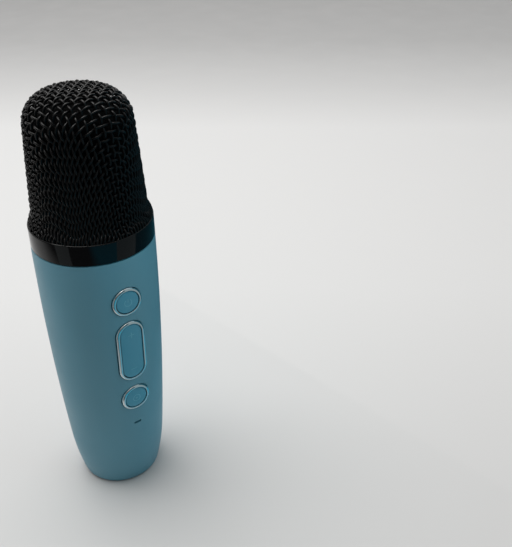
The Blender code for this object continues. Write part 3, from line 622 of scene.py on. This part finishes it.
def handle():
    """One-piece sleeve with rounded rim, stepped wells for the controls, lamp slot and port."""
    inner_fillet, flat_base = 0.001, 0.012
    outer = handle_outline(0.0, HANDLE_TOP - RIM_FILLET, 0.0, BASE_FILLET, (56, 26, 10))
    rim_centre = (outer[0][0] - RIM_FILLET, HANDLE_TOP - RIM_FILLET)
    rim = arc(rim_centre, RIM_FILLET, math.pi / 2, 0.0, 5)
    inner = handle_outline(WALL, HANDLE_TOP, FLOOR, inner_fillet, (24, 8, 4))
    profile = rim + outer[1:] + [(flat_base, 0.0), (0.0, 0.0), (0.0, FLOOR)] + inner[::-1]
    shell = turned(profile, name="handle_sleeve")
    pads, bores = [], []
    pad_margin, mouth_margin, well_margin = 0.0011, 0.00016, -0.00015
    pad_low, pad_high = -0.0041, -0.0016
    mouth_low, clear_of_skin, well_low = -0.0012, 0.003, -0.0027
    stem_bore, stem_low = 0.0018, -0.006
    for z, radius, half in CONTROLS.values():
        place = skin_frame(z)
        pads.append(moved(slot_block(radius + pad_margin, half, pad_low, pad_high), place))
        bores.append(moved(slot_block(radius + mouth_margin, half, mouth_low, clear_of_skin), place))
        bores.append(moved(slot_block(radius + well_margin, half, well_low, 0.0), place))
        for height in {half, -half}:
            start, end = (0, height, stem_low), (0, height, pad_high)
            bores.append(moved(cylinder(start, end, stem_bore), place))
    turn = Matrix.Rotation(math.pi / 2, 4, "Z")
    lamp = slot_block(0.00042, 0.00085, -0.004, 0.002, steps=12)
    bores.append(moved(lamp, skin_frame(LED_Z) @ turn))
    opening = slot_block(0.00178, 0.00284, -0.002, 0.004, steps=24)
    bores.append(moved(opening, turn))
    mesh = boolean(boolean(shell, pads, "UNION"), bores, "DIFFERENCE")
    analytic_normals(mesh)
    piece(mesh, "handle_sleeve", "handle", MATERIALS["body_blue"], ("handle_shell",))


def slot_block(radius, half, low, high, steps=40):
    """A slot-shaped block, closed along its centre line.
    Known fault: what a slot block cuts keeps inner faces on that line, so the sleeve isn't closed there."""
    inward = radius * 0.5
    profile = [(0.0, high), (inward, high), (radius, high), (radius, low), (inward, low), (0.0, low)]
    return slot_solid(profile, half, steps=steps)


# -------------------- controls


def bezels():
    """Bright trim rings: a crisp inner edge, then one convex slope down to the handle's skin."""
    top, bottom, lip, sunk = 0.00045, -0.0009, 0.00012, 0.0001
    for name, (z, radius, half) in CONTROLS.items():
        inner = radius - BEZEL_WIDTH
        profile = arc((inner + lip, top - lip), lip, math.pi, math.pi / 2, 4)
        for x, y in arc((0.0, 0.0), 1.0, math.pi / 2, 0.0, 12)[1:]:
            profile.append((inner + lip + x * (BEZEL_WIDTH - lip), y * (top + sunk) - sunk))
        profile += [(radius, bottom), (inner, bottom)]
        mesh = moved(slot_solid(profile[::-1], half, steps=64), skin_frame(z))
        piece(mesh, name + "_trim_ring", "handle", MATERIALS["chrome"], (name + "_bezel",))


def crown_height(share):
    """Height of a cap's crowned face, at a share of the way out from its centre."""
    return CAP_TOP + CAP_CROWN * (1 - share**2)


def cap_mesh(z, radius, half):
    """Crowned face, flange below it and stems down to the switches."""
    face, flange = radius - BEZEL_WIDTH - CAP_GAP, radius - 0.0004
    edge, flange_top, flange_bottom = 0.0003, -0.0014, -0.00195
    stem_radius, stem_top = 0.0014, -0.0017
    rings = 14
    profile = []
    for share in (index / rings for index in range(rings + 1)):
        profile.append(((face - edge) * share, crown_height(share)))
    profile += arc((face - edge, CAP_TOP - edge), edge, math.pi / 2, 0.0, 6)[1:]
    profile += [(face, flange_top), (flange, flange_top), (flange, flange_bottom), (0.0, flange_bottom)]
    mesh = slot_solid(profile, half, steps=48, closed=False)
    tilt = math.atan2(WIDEST_Z - z, skin_radius(z) - SIDE_CENTRE[0])
    stems = []
    for height in sorted({half, -half}):
        tip = (STEM_TIP - skin_radius(z) - height * math.sin(tilt)) / math.cos(tilt)
        stems.append(cylinder((0, height, tip), (0, height, stem_top), stem_radius))
    if half:
        stems.append(rib())
    return boolean(mesh, stems, "UNION")


def rib():
    """The rocker's fulcrum, a low bar across its underside."""
    size, middle = (0.0044, 0.0010, 0.0007), -0.00205
    shape = bmesh.new()
    bmesh.ops.create_cube(shape, size=1.0)
    shape.transform(Matrix.Translation((0, 0, middle)) @ Matrix.Diagonal((*size, 1)))
    return finished(shape, "rib")


def stroke(points, place, name, body, cyclic=False):
    """A fine raised printed line on a cap, flattened to a share of its round height."""
    line_radius, flatness = 0.00013, 0.35
    curve = bpy.data.curves.new(name, "CURVE")
    curve.dimensions = "3D"
    curve.bevel_depth = line_radius
    curve.bevel_resolution = 3
    curve.use_fill_caps = True
    spline = curve.splines.new("POLY")
    spline.points.add(len(points) - 1)
    for target, (x, y, z) in zip(spline.points, points):
        target.co = (x, y, z, 1)
    spline.use_cyclic_u = cyclic
    mesh = evaluated(link(curve, name))
    centre_z = points[0][2]
    for vertex in mesh.vertices:
        vertex.co.z = centre_z + (vertex.co.z - centre_z) * flatness
    piece(smooth(moved(welded(mesh), place)), name, body, MATERIALS["mark_blue"])


def circle(radius, start, end, count, z):
    """Points round the top of a cap, clockwise from straight up."""
    points = []
    for index in range(count + 1):
        angle = start + (end - start) * index / count
        points.append((radius * math.sin(angle), radius * math.cos(angle), z))
    return points


def controls():
    """The caps, and generic marks on them: power ring and bar, plus, minus, and ring with a dot."""
    for name, (z, radius, half) in CONTROLS.items():
        node = "volume_rocker" if half else name + "_button"
        mesh = moved(cap_mesh(z, radius, half), skin_frame(z))
        piece(mesh, node + "_cap", node, MATERIALS["cap_blue"], (node,))
    on_ring, near_centre = crown_height(1.15 / 3.4), crown_height(0.1)
    z, radius, half = CONTROLS["power"]
    place = skin_frame(z)
    ring = circle(0.00115, math.radians(35), math.radians(325), 28, on_ring)
    stroke(ring, place, "power_mark_ring", "power_button")
    on_bar = crown_height(0.0008 / (radius - BEZEL_WIDTH))
    stroke([(0, 0.0002, on_bar), (0, 0.0014, on_bar)], place, "power_mark_bar", "power_button")
    z, radius, half = CONTROLS["volume"]
    place, arm = skin_frame(z), 0.0010
    for name, points in (
        ("plus_mark_across", [(-arm, half, near_centre), (arm, half, near_centre)]),
        ("plus_mark_up", [(0, half - arm, near_centre), (0, half + arm, near_centre)]),
        ("minus_mark", [(-arm, -half, near_centre), (arm, -half, near_centre)]),
    ):
        stroke(points, place, name, "volume_rocker")
    place = skin_frame(CONTROLS["mode"][0])
    ring = circle(0.0012, 0, 2 * math.pi, 32, on_ring)[:-1]
    stroke(ring, place, "mode_mark_ring", "mode_button", True)
    dot = circle(0.00022, 0, 2 * math.pi, 12, near_centre)[:-1]
    stroke(dot, place, "mode_mark_dot", "mode_button", True)


# -------------------- collar, thread, neck


def collar():
    """Gloss ring with a flat top, where the mesh's skirt is moulded in, and a fine bright edge."""
    edge, foot = 0.00028, 0.00018
    seat, seat_floor, bore, mesh_edge = 0.0163, 0.0913, 0.0150, 0.0175
    profile = [(seat, COLLAR_TOP), (mesh_edge, COLLAR_TOP)]
    profile += arc((HANDLE_RADIUS - edge, COLLAR_TOP - edge), edge, math.pi / 2, 0.0, 6)
    profile += arc((HANDLE_RADIUS - foot, COLLAR_BOTTOM + foot), foot, 0.0, -math.pi / 2, 5)
    profile += [(bore, COLLAR_BOTTOM), (bore, seat_floor), (seat, seat_floor)]
    mesh = turned(profile, 256, name="gloss_collar")
    piece(mesh, "gloss_collar", "head", MATERIALS["collar_black"], ("collar_ring",))


def thread_surface(radius, depth, low, high, pitch, outward, phase):
    """Rows of a helical thread: (rows x steps x 3). Its ridge fades out at both ends."""
    per_turn, crest, flank, run_out = 14, 1.6, 5.2, 0.35
    rows = max(8, int((high - low) / pitch * per_turn))
    z = np.linspace(low, high, rows)[:, None]
    angle = (np.arange(THREAD_STEPS) * 2 * math.pi / THREAD_STEPS)[None, :]
    wave = ((z - phase) / pitch - angle / (2 * math.pi)) % 1.0
    ridge = np.clip(crest - np.abs(wave - 0.5) * flank, 0, 1)
    fade = np.clip(np.minimum(z - low, high - z) / (run_out * pitch), 0, 1)
    reach = radius + (depth if outward else -depth) * ridge * fade
    z = z + 0 * angle
    return np.stack([reach * np.cos(angle), reach * np.sin(angle), z], axis=-1)


def ring_rows(profile):
    """A turned profile as rows that join on to a thread's."""
    angle = np.arange(THREAD_STEPS) * 2 * math.pi / THREAD_STEPS
    rows = []
    for radius, z in profile:
        height = np.full(THREAD_STEPS, z)
        rows.append(np.stack([radius * np.cos(angle), radius * np.sin(angle), height], axis=-1))
    return np.array(rows)


def threads():
    """The head's band and the neck's sleeve, with a matching right-hand thread."""
    ratio = next(c["ratio"] for c in frame["record"]["behaviour"]["couplings"] if c["joint"] == "head_lift")
    pitch = ratio * 2 * math.pi
    low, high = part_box("grille_rim")
    core, mouth, bore, relief = 0.0142, 0.0143, 0.0133, 0.0003
    shoulder, bore_end = 0.0916, 0.0900
    male = thread_surface(core, 0.0004, 0.0855, 0.0912, pitch, True, 0.0)[::-1]
    top = ring_rows([(mouth, high.z), (high.x, high.z), (high.x, shoulder), (core, shoulder)])
    below = ring_rows([(core - relief, low.z), (bore, low.z), (bore, bore_end), (mouth, shoulder)])
    mesh = welded(grid_mesh(np.concatenate([top, male, below]), True, "threaded_rim"))
    piece(smooth(mesh), "threaded_rim", "head", MATERIALS["steel"], ("grille_rim",))

    low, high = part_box("neck_insert")
    bore, shelf, shelf_bore = 0.0149, 0.0831, 0.0094
    screw_place, screw_hole, hole_low, hole_high = 0.0114, 0.00105, 0.0810, 0.0836
    female = thread_surface(bore, 0.0003, 0.0836, high.z - 0.0002, pitch, False, pitch / 2)
    outside = [(bore, high.z), (high.x, high.z), (high.x, low.z), (shelf_bore, low.z), (shelf_bore, shelf)]
    outside = ring_rows(outside)
    inside = ring_rows([(bore, shelf)])
    mesh = welded(grid_mesh(np.concatenate([outside, inside, female]), True, "threaded_neck"))
    holes = []
    for side in (-1, 1):
        x = side * screw_place
        holes.append(cylinder((x, 0, hole_low), (x, 0, hole_high), screw_hole, 20))
    mesh = boolean(mesh, holes, "DIFFERENCE")
    finish = MATERIALS["frame_plastic"]
    piece(mesh, "threaded_neck", "handle", finish, ("neck_insert",))


def gasket():
    """Washer with rounded, slightly swollen edges."""
    low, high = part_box("collar_gasket")
    inner = 0.0151
    middle, half = (low.z + high.z) / 2, (high.z - low.z) / 2
    profile = arc((high.x - half, middle), half, math.pi / 2, -math.pi / 2, 8)
    profile += arc((inner + half, middle), half, -math.pi / 2, -3 * math.pi / 2, 8)
    mesh = turned(profile, 160, name="gasket_ring")
    piece(mesh, "gasket_ring", "head_gasket", MATERIALS["rubber"], ("collar_gasket",))


# -------------------- woven head


def sheet_to_head(x, y, outline):
    """Where a point of the flat wire cloth ends up once it is drawn over the head.
    The cloth shears between its own two wire directions: there it runs further down, and
    crowds together round the head."""
    radius_at, height_at, lengths = outline
    rho = np.hypot(x, y)
    alpha = np.arctan2(y, x)
    diagonal = (1 - np.cos(4 * alpha)) / 2
    bend = np.clip((rho - DRAW_START) / DRAW_LENGTH, 0, 1)
    gain = DRAW_LENGTH * (bend**3 - bend**4 / 2) + np.clip(rho - DRAW_START - DRAW_LENGTH, 0, None)
    along = AXIS_DRAW * rho + SHEAR_DRAW * diagonal * gain
    crowd = SHEAR_CROWD * bend**2 * (3 - 2 * bend)
    azimuth = alpha + crowd / 4 * np.sin(4 * alpha) + WEAVE_TURN
    radius = np.interp(along, lengths, radius_at)
    height = np.interp(along, lengths, height_at)
    return radius, height, azimuth, along


def head_point(x, y, lift, outline):
    """World points of the cloth, raised off its mid-surface along the surface's normal."""
    radius, height, azimuth, along = sheet_to_head(x, y, outline)
    step = 0.0004
    radius_at, height_at, lengths = outline
    before, after = np.clip(along - step, 0, None), along + step
    slope_r = np.interp(after, lengths, radius_at) - np.interp(before, lengths, radius_at)
    slope_z = np.interp(after, lengths, height_at) - np.interp(before, lengths, height_at)
    size = np.hypot(slope_r, slope_z)
    normal_r, normal_z = -slope_z / size, slope_r / size
    radius, height = radius + lift * normal_r, height + lift * normal_z
    return np.stack([radius * np.cos(azimuth), radius * np.sin(azimuth), height], axis=-1)


def tube(points, normals, radius, sides):
    """Rings of a round wire along points, with its first side on the given normals."""
    tangent = np.gradient(points, axis=0)
    tangent /= np.linalg.norm(tangent, axis=1, keepdims=True)
    across = np.cross(tangent, normals)
    across /= np.linalg.norm(across, axis=1, keepdims=True)
    up = np.cross(across, tangent)
    angle = np.arange(sides) * 2 * math.pi / sides
    ring = np.cos(angle)[None, :, None] * up[:, None] + np.sin(angle)[None, :, None] * across[:, None]
    return points[:, None] + radius * ring


def wire_cloth(name, along_x, outline):
    """One of the two sets of wires: over one crossing wire, under the next."""
    sides, per_pitch = 8, 8
    lift_share, lift_shape = 1.02, 0.8
    hem = outline[2][-1]
    count = math.ceil(hem / (AXIS_DRAW * WIRE_PITCH))
    vertices, faces, offset = [], [], 0
    for line in range(-count, count + 1):
        fixed = (line + 0.5) * WIRE_PITCH
        run = np.arange(-count * per_pitch, count * per_pitch + 1) * WIRE_PITCH / per_pitch
        x, y = (run, np.full_like(run, fixed)) if along_x else (np.full_like(run, fixed), run)
        along = sheet_to_head(x, y, outline)[3]
        inside = along < hem - HEM_GAP
        if inside.sum() < 2 * per_pitch:
            continue
        x, y, run = x[inside], y[inside], run[inside]
        phase = run / WIRE_PITCH - 0.5
        sign = 1 if (line % 2 == 0) == along_x else -1
        wave = np.cos(math.pi * phase)
        lift = sign * WIRE_RADIUS * lift_share * np.sign(wave) * np.abs(wave) ** lift_shape
        lift = lift + (WARP_PROUD if along_x else -WARP_PROUD)
        points = head_point(x, y, lift, outline)
        normals = head_point(x, y, lift + 0.001, outline) - points
        rings = tube(points, normals, WIRE_RADIUS, sides)
        total = len(points)
        vertices.append(rings.reshape(-1, 3))
        index = offset + np.arange(total * sides).reshape(total, sides)
        index = np.hstack([index, index[:, :1]])
        quads = np.stack([index[:-1, :-1], index[:-1, 1:], index[1:, 1:], index[1:, :-1]], axis=-1)
        faces += quads.reshape(-1, 4).tolist()
        faces.append(index[0, :sides].tolist())
        faces.append(index[-1, :sides][::-1].tolist())
        offset += total * sides
    mesh = bpy.data.meshes.new(name)
    mesh.from_pydata(np.concatenate(vertices).tolist(), [], faces)
    shape = bmesh.new()
    shape.from_mesh(mesh)
    bmesh.ops.recalc_face_normals(shape, faces=shape.faces)
    shape.to_mesh(mesh)
    shape.free()
    return smooth(mesh, 60)


def woven_head():
    """The two sets of wires that together replace the plain skin."""
    outline = head_outline()
    for name, along_x in (("grille_warp", True), ("grille_weft", False)):
        mesh = wire_cloth(name, along_x, outline)
        piece(mesh, name, "head", MATERIALS["grille_black"], ("grille_mesh",))


def foam():
    """Foam cap pulled over the capsule, lumpy where its cells are cut, waisted above the head's rim."""
    low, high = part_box("foam_windscreen")
    radius, neck, neck_top, crown, corner = high.x, 0.0126, 0.0983, 0.040, 0.0085
    bore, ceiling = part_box("capsule_boot")[1].x + 0.0003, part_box("mic_capsule")[1].z + 0.0004
    crown_z, out = high.z - crown, radius - corner
    middle = (out, crown_z + math.sqrt((crown - corner) ** 2 - out**2))
    meet = math.atan2(middle[1] - crown_z, out)
    profile = arc((0.0, crown_z), crown, math.pi / 2, meet, 24)
    profile += arc(middle, corner, meet, 0.0, 40)[1:]
    waist = neck_top + radius - neck
    for index in range(1, 61):
        profile.append((radius, middle[1] + (waist - middle[1]) * index / 60))
    profile += [(radius - 0.0006, waist - 0.0006), (neck, neck_top), (neck, low.z + 0.0005)]
    profile += [(neck - 0.0005, low.z), (bore, low.z), (bore, ceiling), (0.0, ceiling)]
    profile[0] = (0.0, high.z)
    mesh = turned(profile, closed=False, name="foam_cap")
    cells = bpy.data.textures.new("foam_cells", "VORONOI")
    cells.noise_scale = 0.0011
    cells.noise_intensity = 1.2
    obj = piece(mesh, "foam_cap", "handle", MATERIALS["foam"], ("foam_windscreen",))
    surface = obj.modifiers.new("cells", "DISPLACE")
    surface.texture = cells
    surface.texture_coords = "LOCAL"
    surface.strength = 0.0003
    surface.mid_level = 0.75


# -------------------- port and lamp


def port():
    """Socket shell with rolled edges, and its tongue with two rows of contacts."""
    low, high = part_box("usb_socket_shell")
    radius, half, wall = 0.00163, 0.00284, 0.0003
    edge = wall / 2
    profile = arc((radius - edge, low.z + edge), edge, 0.0, -math.pi, 8)
    profile += [(radius - wall, high.z), (radius, high.z)]
    turn = Matrix.Rotation(math.pi / 2, 4, "Z")
    mesh = moved(slot_solid(profile, half, steps=32), turn)
    piece(mesh, "port_socket", "handle", MATERIALS["steel"], ("usb_socket_shell",))
    low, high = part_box("usb_socket_tongue")
    shape = bmesh.new()
    bmesh.ops.create_cube(shape, size=1.0)
    size = Matrix.Diagonal((*(high - low), 1.0))
    shape.transform(Matrix.Translation((low + high) / 2) @ size)
    bmesh.ops.bevel(shape, geom=shape.edges[:], offset=0.00009, segments=2, affect="EDGES")
    mesh = smooth(finished(shape, "port_tongue"))
    piece(mesh, "port_tongue", "handle", MATERIALS["chip"], ("usb_socket_tongue",))
    contacts, contact_pitch, contact_size = bmesh.new(), 0.0005, (0.00025, 0.00008, 0.0024)
    for side in (-1, 1):
        for index in range(12):
            x = (index - 5.5) * contact_pitch
            centre = Vector((x, side * 0.00036, low.z + 0.0016))
            made = bmesh.ops.create_cube(contacts, size=1.0)
            place = Matrix.Translation(centre) @ Matrix.Diagonal((*contact_size, 1))
            bmesh.ops.transform(contacts, matrix=place, verts=made["verts"])
    gold = steel("contact_gold", (0.83, 0.60, 0.27), 0.2)
    piece(finished(contacts, "port_contacts"), "port_contacts", "handle", gold)


# -------------------- carried-over CAD pieces


def finish_cad_nodes():
    """Every CAD piece that keeps its own shape gets its slot's finish."""
    for entry in frame["record"]["subparts"]:
        obj = frame["nodes"][entry["node"]]
        obj.data.materials.clear()
        obj.data.materials.append(MATERIALS[entry["material_slot"]])
        smooth(obj.data, 30)


# -------------------- stage, light, camera


def ramp(finish, value, stops):
    """A grey line through (position, brightness) stops."""
    node = finish.node("ShaderNodeValToRGB")
    node.color_ramp.interpolation = "LINEAR"
    elements = node.color_ramp.elements
    while len(elements) < len(stops):
        elements.new(0.5)
    for element, (position, grey) in zip(elements, stops):
        element.position = position
        element.color = (grey, grey, grey, 1.0)
    finish.link(value, node.inputs["Fac"])
    return node.outputs["Color"]


def floor():
    """A wide pale table with a painted pool of light, brightest a little behind the object. In the object's
    reflections the floor is painted darker on the camera's side and painted teal on the right, and it bounces
    a little more soft light than it shows."""
    mesh = bpy.data.meshes.new("floor")
    reach = 6.0
    corners = [(-reach, -reach, 0), (reach, -reach, 0), (reach, reach, 0), (-reach, reach, 0)]
    mesh.from_pydata(corners, [], [(0, 1, 2, 3)])
    finish = Finish("pale_floor", (0.70, 0.71, 0.71), 0.55, specular=0.25)
    turn = finish.node("ShaderNodeMapping", vector_type="TEXTURE")
    turn.inputs["Rotation"].default_value = (0, 0, VIEW_AZIMUTH)
    finish.link(finish.coordinates, turn.inputs["Vector"])
    split = finish.node("ShaderNodeSeparateXYZ")
    finish.link(turn.outputs["Vector"], split.inputs["Vector"])
    # Painted pool of light: the floor's brightness follows its distance along the view.
    share = finish.ranged(split.outputs["X"], 0.0, 1.0, -0.30, 0.90)
    shade = ramp(finish, share, FLOOR_PAINTED_LIGHT_STOPS)
    # Painted reflection: for glossy rays the floor is painted darker on the camera's side.
    mirrored = finish.ranged(split.outputs["X"], 0.08, 1.0, -0.10, -0.02)
    seen = finish.node("ShaderNodeMix", data_type="FLOAT")
    seen.inputs["A"].default_value = 1.0
    glossy = finish.node("ShaderNodeLightPath").outputs["Is Glossy Ray"]
    finish.link(glossy, seen.inputs["Factor"])
    finish.link(mirrored, seen.inputs["B"])
    bounce = finish.node("ShaderNodeMath", operation="MULTIPLY_ADD")
    finish.link(finish.node("ShaderNodeLightPath").outputs["Is Diffuse Ray"], bounce.inputs[0])
    bounce.inputs[1].default_value = 0.30
    finish.link(seen.outputs["Result"], bounce.inputs[2])
    product = finish.node("ShaderNodeVectorMath", operation="SCALE")
    finish.link(shade, product.inputs["Vector"])
    finish.link(bounce.outputs["Value"], product.inputs["Scale"])
    # Painted reflection: for glossy rays the floor on the right is painted teal.
    painted_teal_share = finish.node("ShaderNodeMath", operation="MULTIPLY")
    finish.link(finish.ranged(split.outputs["Y"], 1.0, 0.0, -0.05, -0.01), painted_teal_share.inputs[0])
    finish.link(glossy, painted_teal_share.inputs[1])
    tinted = finish.node("ShaderNodeMix", data_type="RGBA")
    finish.link(painted_teal_share.outputs["Value"], tinted.inputs["Factor"])
    finish.link(product.outputs["Vector"], tinted.inputs["A"])
    tinted.inputs["B"].default_value = (0.02, 0.25, 0.36, 1.0)
    finish.link(tinted.outputs["Result"], finish.shader.inputs["Base Color"])
    finish.vary_roughness(finish.noise(30, 3.0), 0.45, 0.6)
    mesh.materials.append(finish.material)
    obj = link(mesh, "floor")
    obj.location.z = -FLOOR_DROP


def area_light(name, location, target, size, power, colour=(1, 1, 1)):
    data = bpy.data.lights.new(name, "AREA")
    data.shape = "RECTANGLE"
    data.size, data.size_y = size
    data.energy = power
    data.color = colour
    obj = link(data, name)
    obj.location = location
    direction = Vector(target) - Vector(location)
    obj.rotation_mode = "QUATERNION"
    obj.rotation_quaternion = direction.to_track_quat("-Z", "Y")
    return obj


def around_view(angle, distance, height):
    """A place round the object; angle 0 is straight behind it, positive to the right."""
    azimuth = VIEW_AZIMUTH - math.radians(angle)
    return (distance * math.cos(azimuth), distance * math.sin(azimuth), height)


def lights():
    """Soft overhead light, a weak light low on the right, cards to reflect, and the tent."""
    target = (0, 0, 0.06)
    area_light("overhead", around_view(-60, 0.18, 0.70), target, (0.45, 0.45), 3.4, (1.0, 1.0, 0.985))
    place = around_view(122, 0.06, 0.125)
    side = area_light("side", place, (0, 0, 0.08), (0.03, 0.03), 0.0070, (0.55, 0.97, 1.0))
    side.visible_glossy = False
    reflector("grey_card", around_view(-138, 0.125, 0.06), (0.054, 0.12), (0.34, 0.37, 0.37))
    reflector("side_card", around_view(114, 0.070, 0.07), (0.046, 0.14), (0.25, 0.30, 0.31))
    reflector("blue_card", around_view(44, 0.080, 0.065), (0.22, 0.13), (0.010, 0.080, 0.112))
    world()


def reflector(name, location, size, colour):
    """An upright card facing the object that shows only in its reflections."""
    mesh = bpy.data.meshes.new(name)
    x, z = size[0] / 2, size[1] / 2
    mesh.from_pydata([(-x, 0, -z), (x, 0, -z), (x, 0, z), (-x, 0, z)], [], [(0, 1, 2, 3)])
    finish = Finish(name, (0.0, 0.0, 0.0), 1.0, specular=0.0)
    finish.set("Emission Color", (*colour, 1.0)).set("Emission Strength", 1.0)
    mesh.materials.append(finish.material)
    obj = link(mesh, name)
    obj.location = location
    obj.rotation_euler = (0, 0, math.atan2(location[1], location[0]) + math.pi / 2)
    obj.visible_camera = False
    obj.visible_diffuse = False
    obj.visible_shadow = False
    obj.visible_transmission = False


def world():
    """A light tent: bright behind, dark on the camera's side, and tinted on the right, most of all in
    reflections. The camera itself sees a plain backdrop."""
    tent = bpy.data.worlds.new("studio")
    bpy.context.scene.world = tent
    tent.use_nodes = True
    tree = tent.node_tree
    background = tree.nodes["Background"]

    def node(kind, **values):
        made = tree.nodes.new(kind)
        for key, value in values.items():
            setattr(made, key, value)
        return made

    def mapped(source, low, high, to_low, to_high):
        made = node("ShaderNodeMapRange", interpolation_type="SMOOTHSTEP")
        made.inputs["From Min"].default_value = low
        made.inputs["From Max"].default_value = high
        made.inputs["To Min"].default_value = to_low
        made.inputs["To Max"].default_value = to_high
        tree.links.new(source, made.inputs["Value"])
        return made.outputs["Result"]

    def maths(operation, *values):
        made = node("ShaderNodeMath", operation=operation)
        for socket, value in zip(made.inputs, values):
            if isinstance(value, float):
                socket.default_value = value
            else:
                tree.links.new(value, socket)
        return made.outputs["Value"]

    direction = node("ShaderNodeTexCoord").outputs["Generated"]
    back = node("ShaderNodeVectorMath", operation="DOT_PRODUCT")
    back.inputs[1].default_value = (math.cos(VIEW_AZIMUTH), math.sin(VIEW_AZIMUTH), 0.0)
    tree.links.new(direction, back.inputs[0])
    split = node("ShaderNodeSeparateXYZ")
    tree.links.new(direction, split.inputs["Vector"])
    soft = mapped(back.outputs["Value"], -0.75, 0.15, TENT_FRONT, TENT_BACK)
    mirrored = mapped(back.outputs["Value"], -0.28, 0.58, TENT_FRONT, TENT_BACK * 1.15)
    choice = node("ShaderNodeMix", data_type="FLOAT")
    glossy = node("ShaderNodeLightPath").outputs["Is Glossy Ray"]
    tree.links.new(glossy, choice.inputs["Factor"])
    tree.links.new(soft, choice.inputs["A"])
    tree.links.new(mirrored, choice.inputs["B"])
    sides = choice.outputs["Result"]
    roof = mapped(split.outputs["Z"], 0.35, 0.95, 0.0, TENT_TOP)
    tree.links.new(maths("ADD", sides, roof), background.inputs["Strength"])
    right = node("ShaderNodeVectorMath", operation="DOT_PRODUCT")
    right.inputs[1].default_value = (math.sin(VIEW_AZIMUTH), -math.cos(VIEW_AZIMUTH), 0.0)
    tree.links.new(direction, right.inputs[0])
    tint = node("ShaderNodeMix", data_type="RGBA")
    tint.inputs["A"].default_value = (1.03, 1.0, 0.98, 1)
    tint.inputs["B"].default_value = (0.03, 0.38, 0.54, 1)
    strength = maths("MULTIPLY_ADD", glossy, 0.5, 0.5)
    share = mapped(right.outputs["Value"], 0.35, 0.85, 0.0, 1.0)
    tree.links.new(maths("MULTIPLY", share, strength), tint.inputs["Factor"])
    tree.links.new(tint.outputs["Result"], background.inputs["Color"])
    plain = node("ShaderNodeBackground")
    plain.inputs["Color"].default_value = (*PLAIN_BACKDROP, 1.0)
    shown = node("ShaderNodeMixShader")
    tree.links.new(node("ShaderNodeLightPath").outputs["Is Camera Ray"], shown.inputs["Fac"])
    tree.links.new(background.outputs["Background"], shown.inputs[1])
    tree.links.new(plain.outputs["Background"], shown.inputs[2])
    tree.links.new(shown.outputs["Shader"], tree.nodes["World Output"].inputs["Surface"])


def camera():
    """The view from above and in front, a little off the controls' own direction."""
    data = bpy.data.cameras.new("camera")
    data.lens = LENS
    data.sensor_width = 36.0
    data.shift_x, data.shift_y = LENS_SHIFT
    data.clip_start = 0.01
    obj = link(data, "camera")
    obj.location = CAMERA_PLACE
    heading = Vector((math.cos(VIEW_AZIMUTH), math.sin(VIEW_AZIMUTH), 0))
    direction = heading * math.cos(CAMERA_PITCH) + Vector((0, 0, math.sin(CAMERA_PITCH)))
    roll = Matrix.Rotation(CAMERA_ROLL, 3, "Z").to_quaternion()
    obj.rotation_mode = "QUATERNION"
    obj.rotation_quaternion = direction.to_track_quat("-Z", "Y") @ roll
    bpy.context.scene.camera = obj


finish_cad_nodes()
handle()
bezels()
controls()
collar()
threads()
gasket()
woven_head()
foam()
port()
floor()
lights()
camera()
bpy.context.scene.view_settings.view_transform = "Standard"
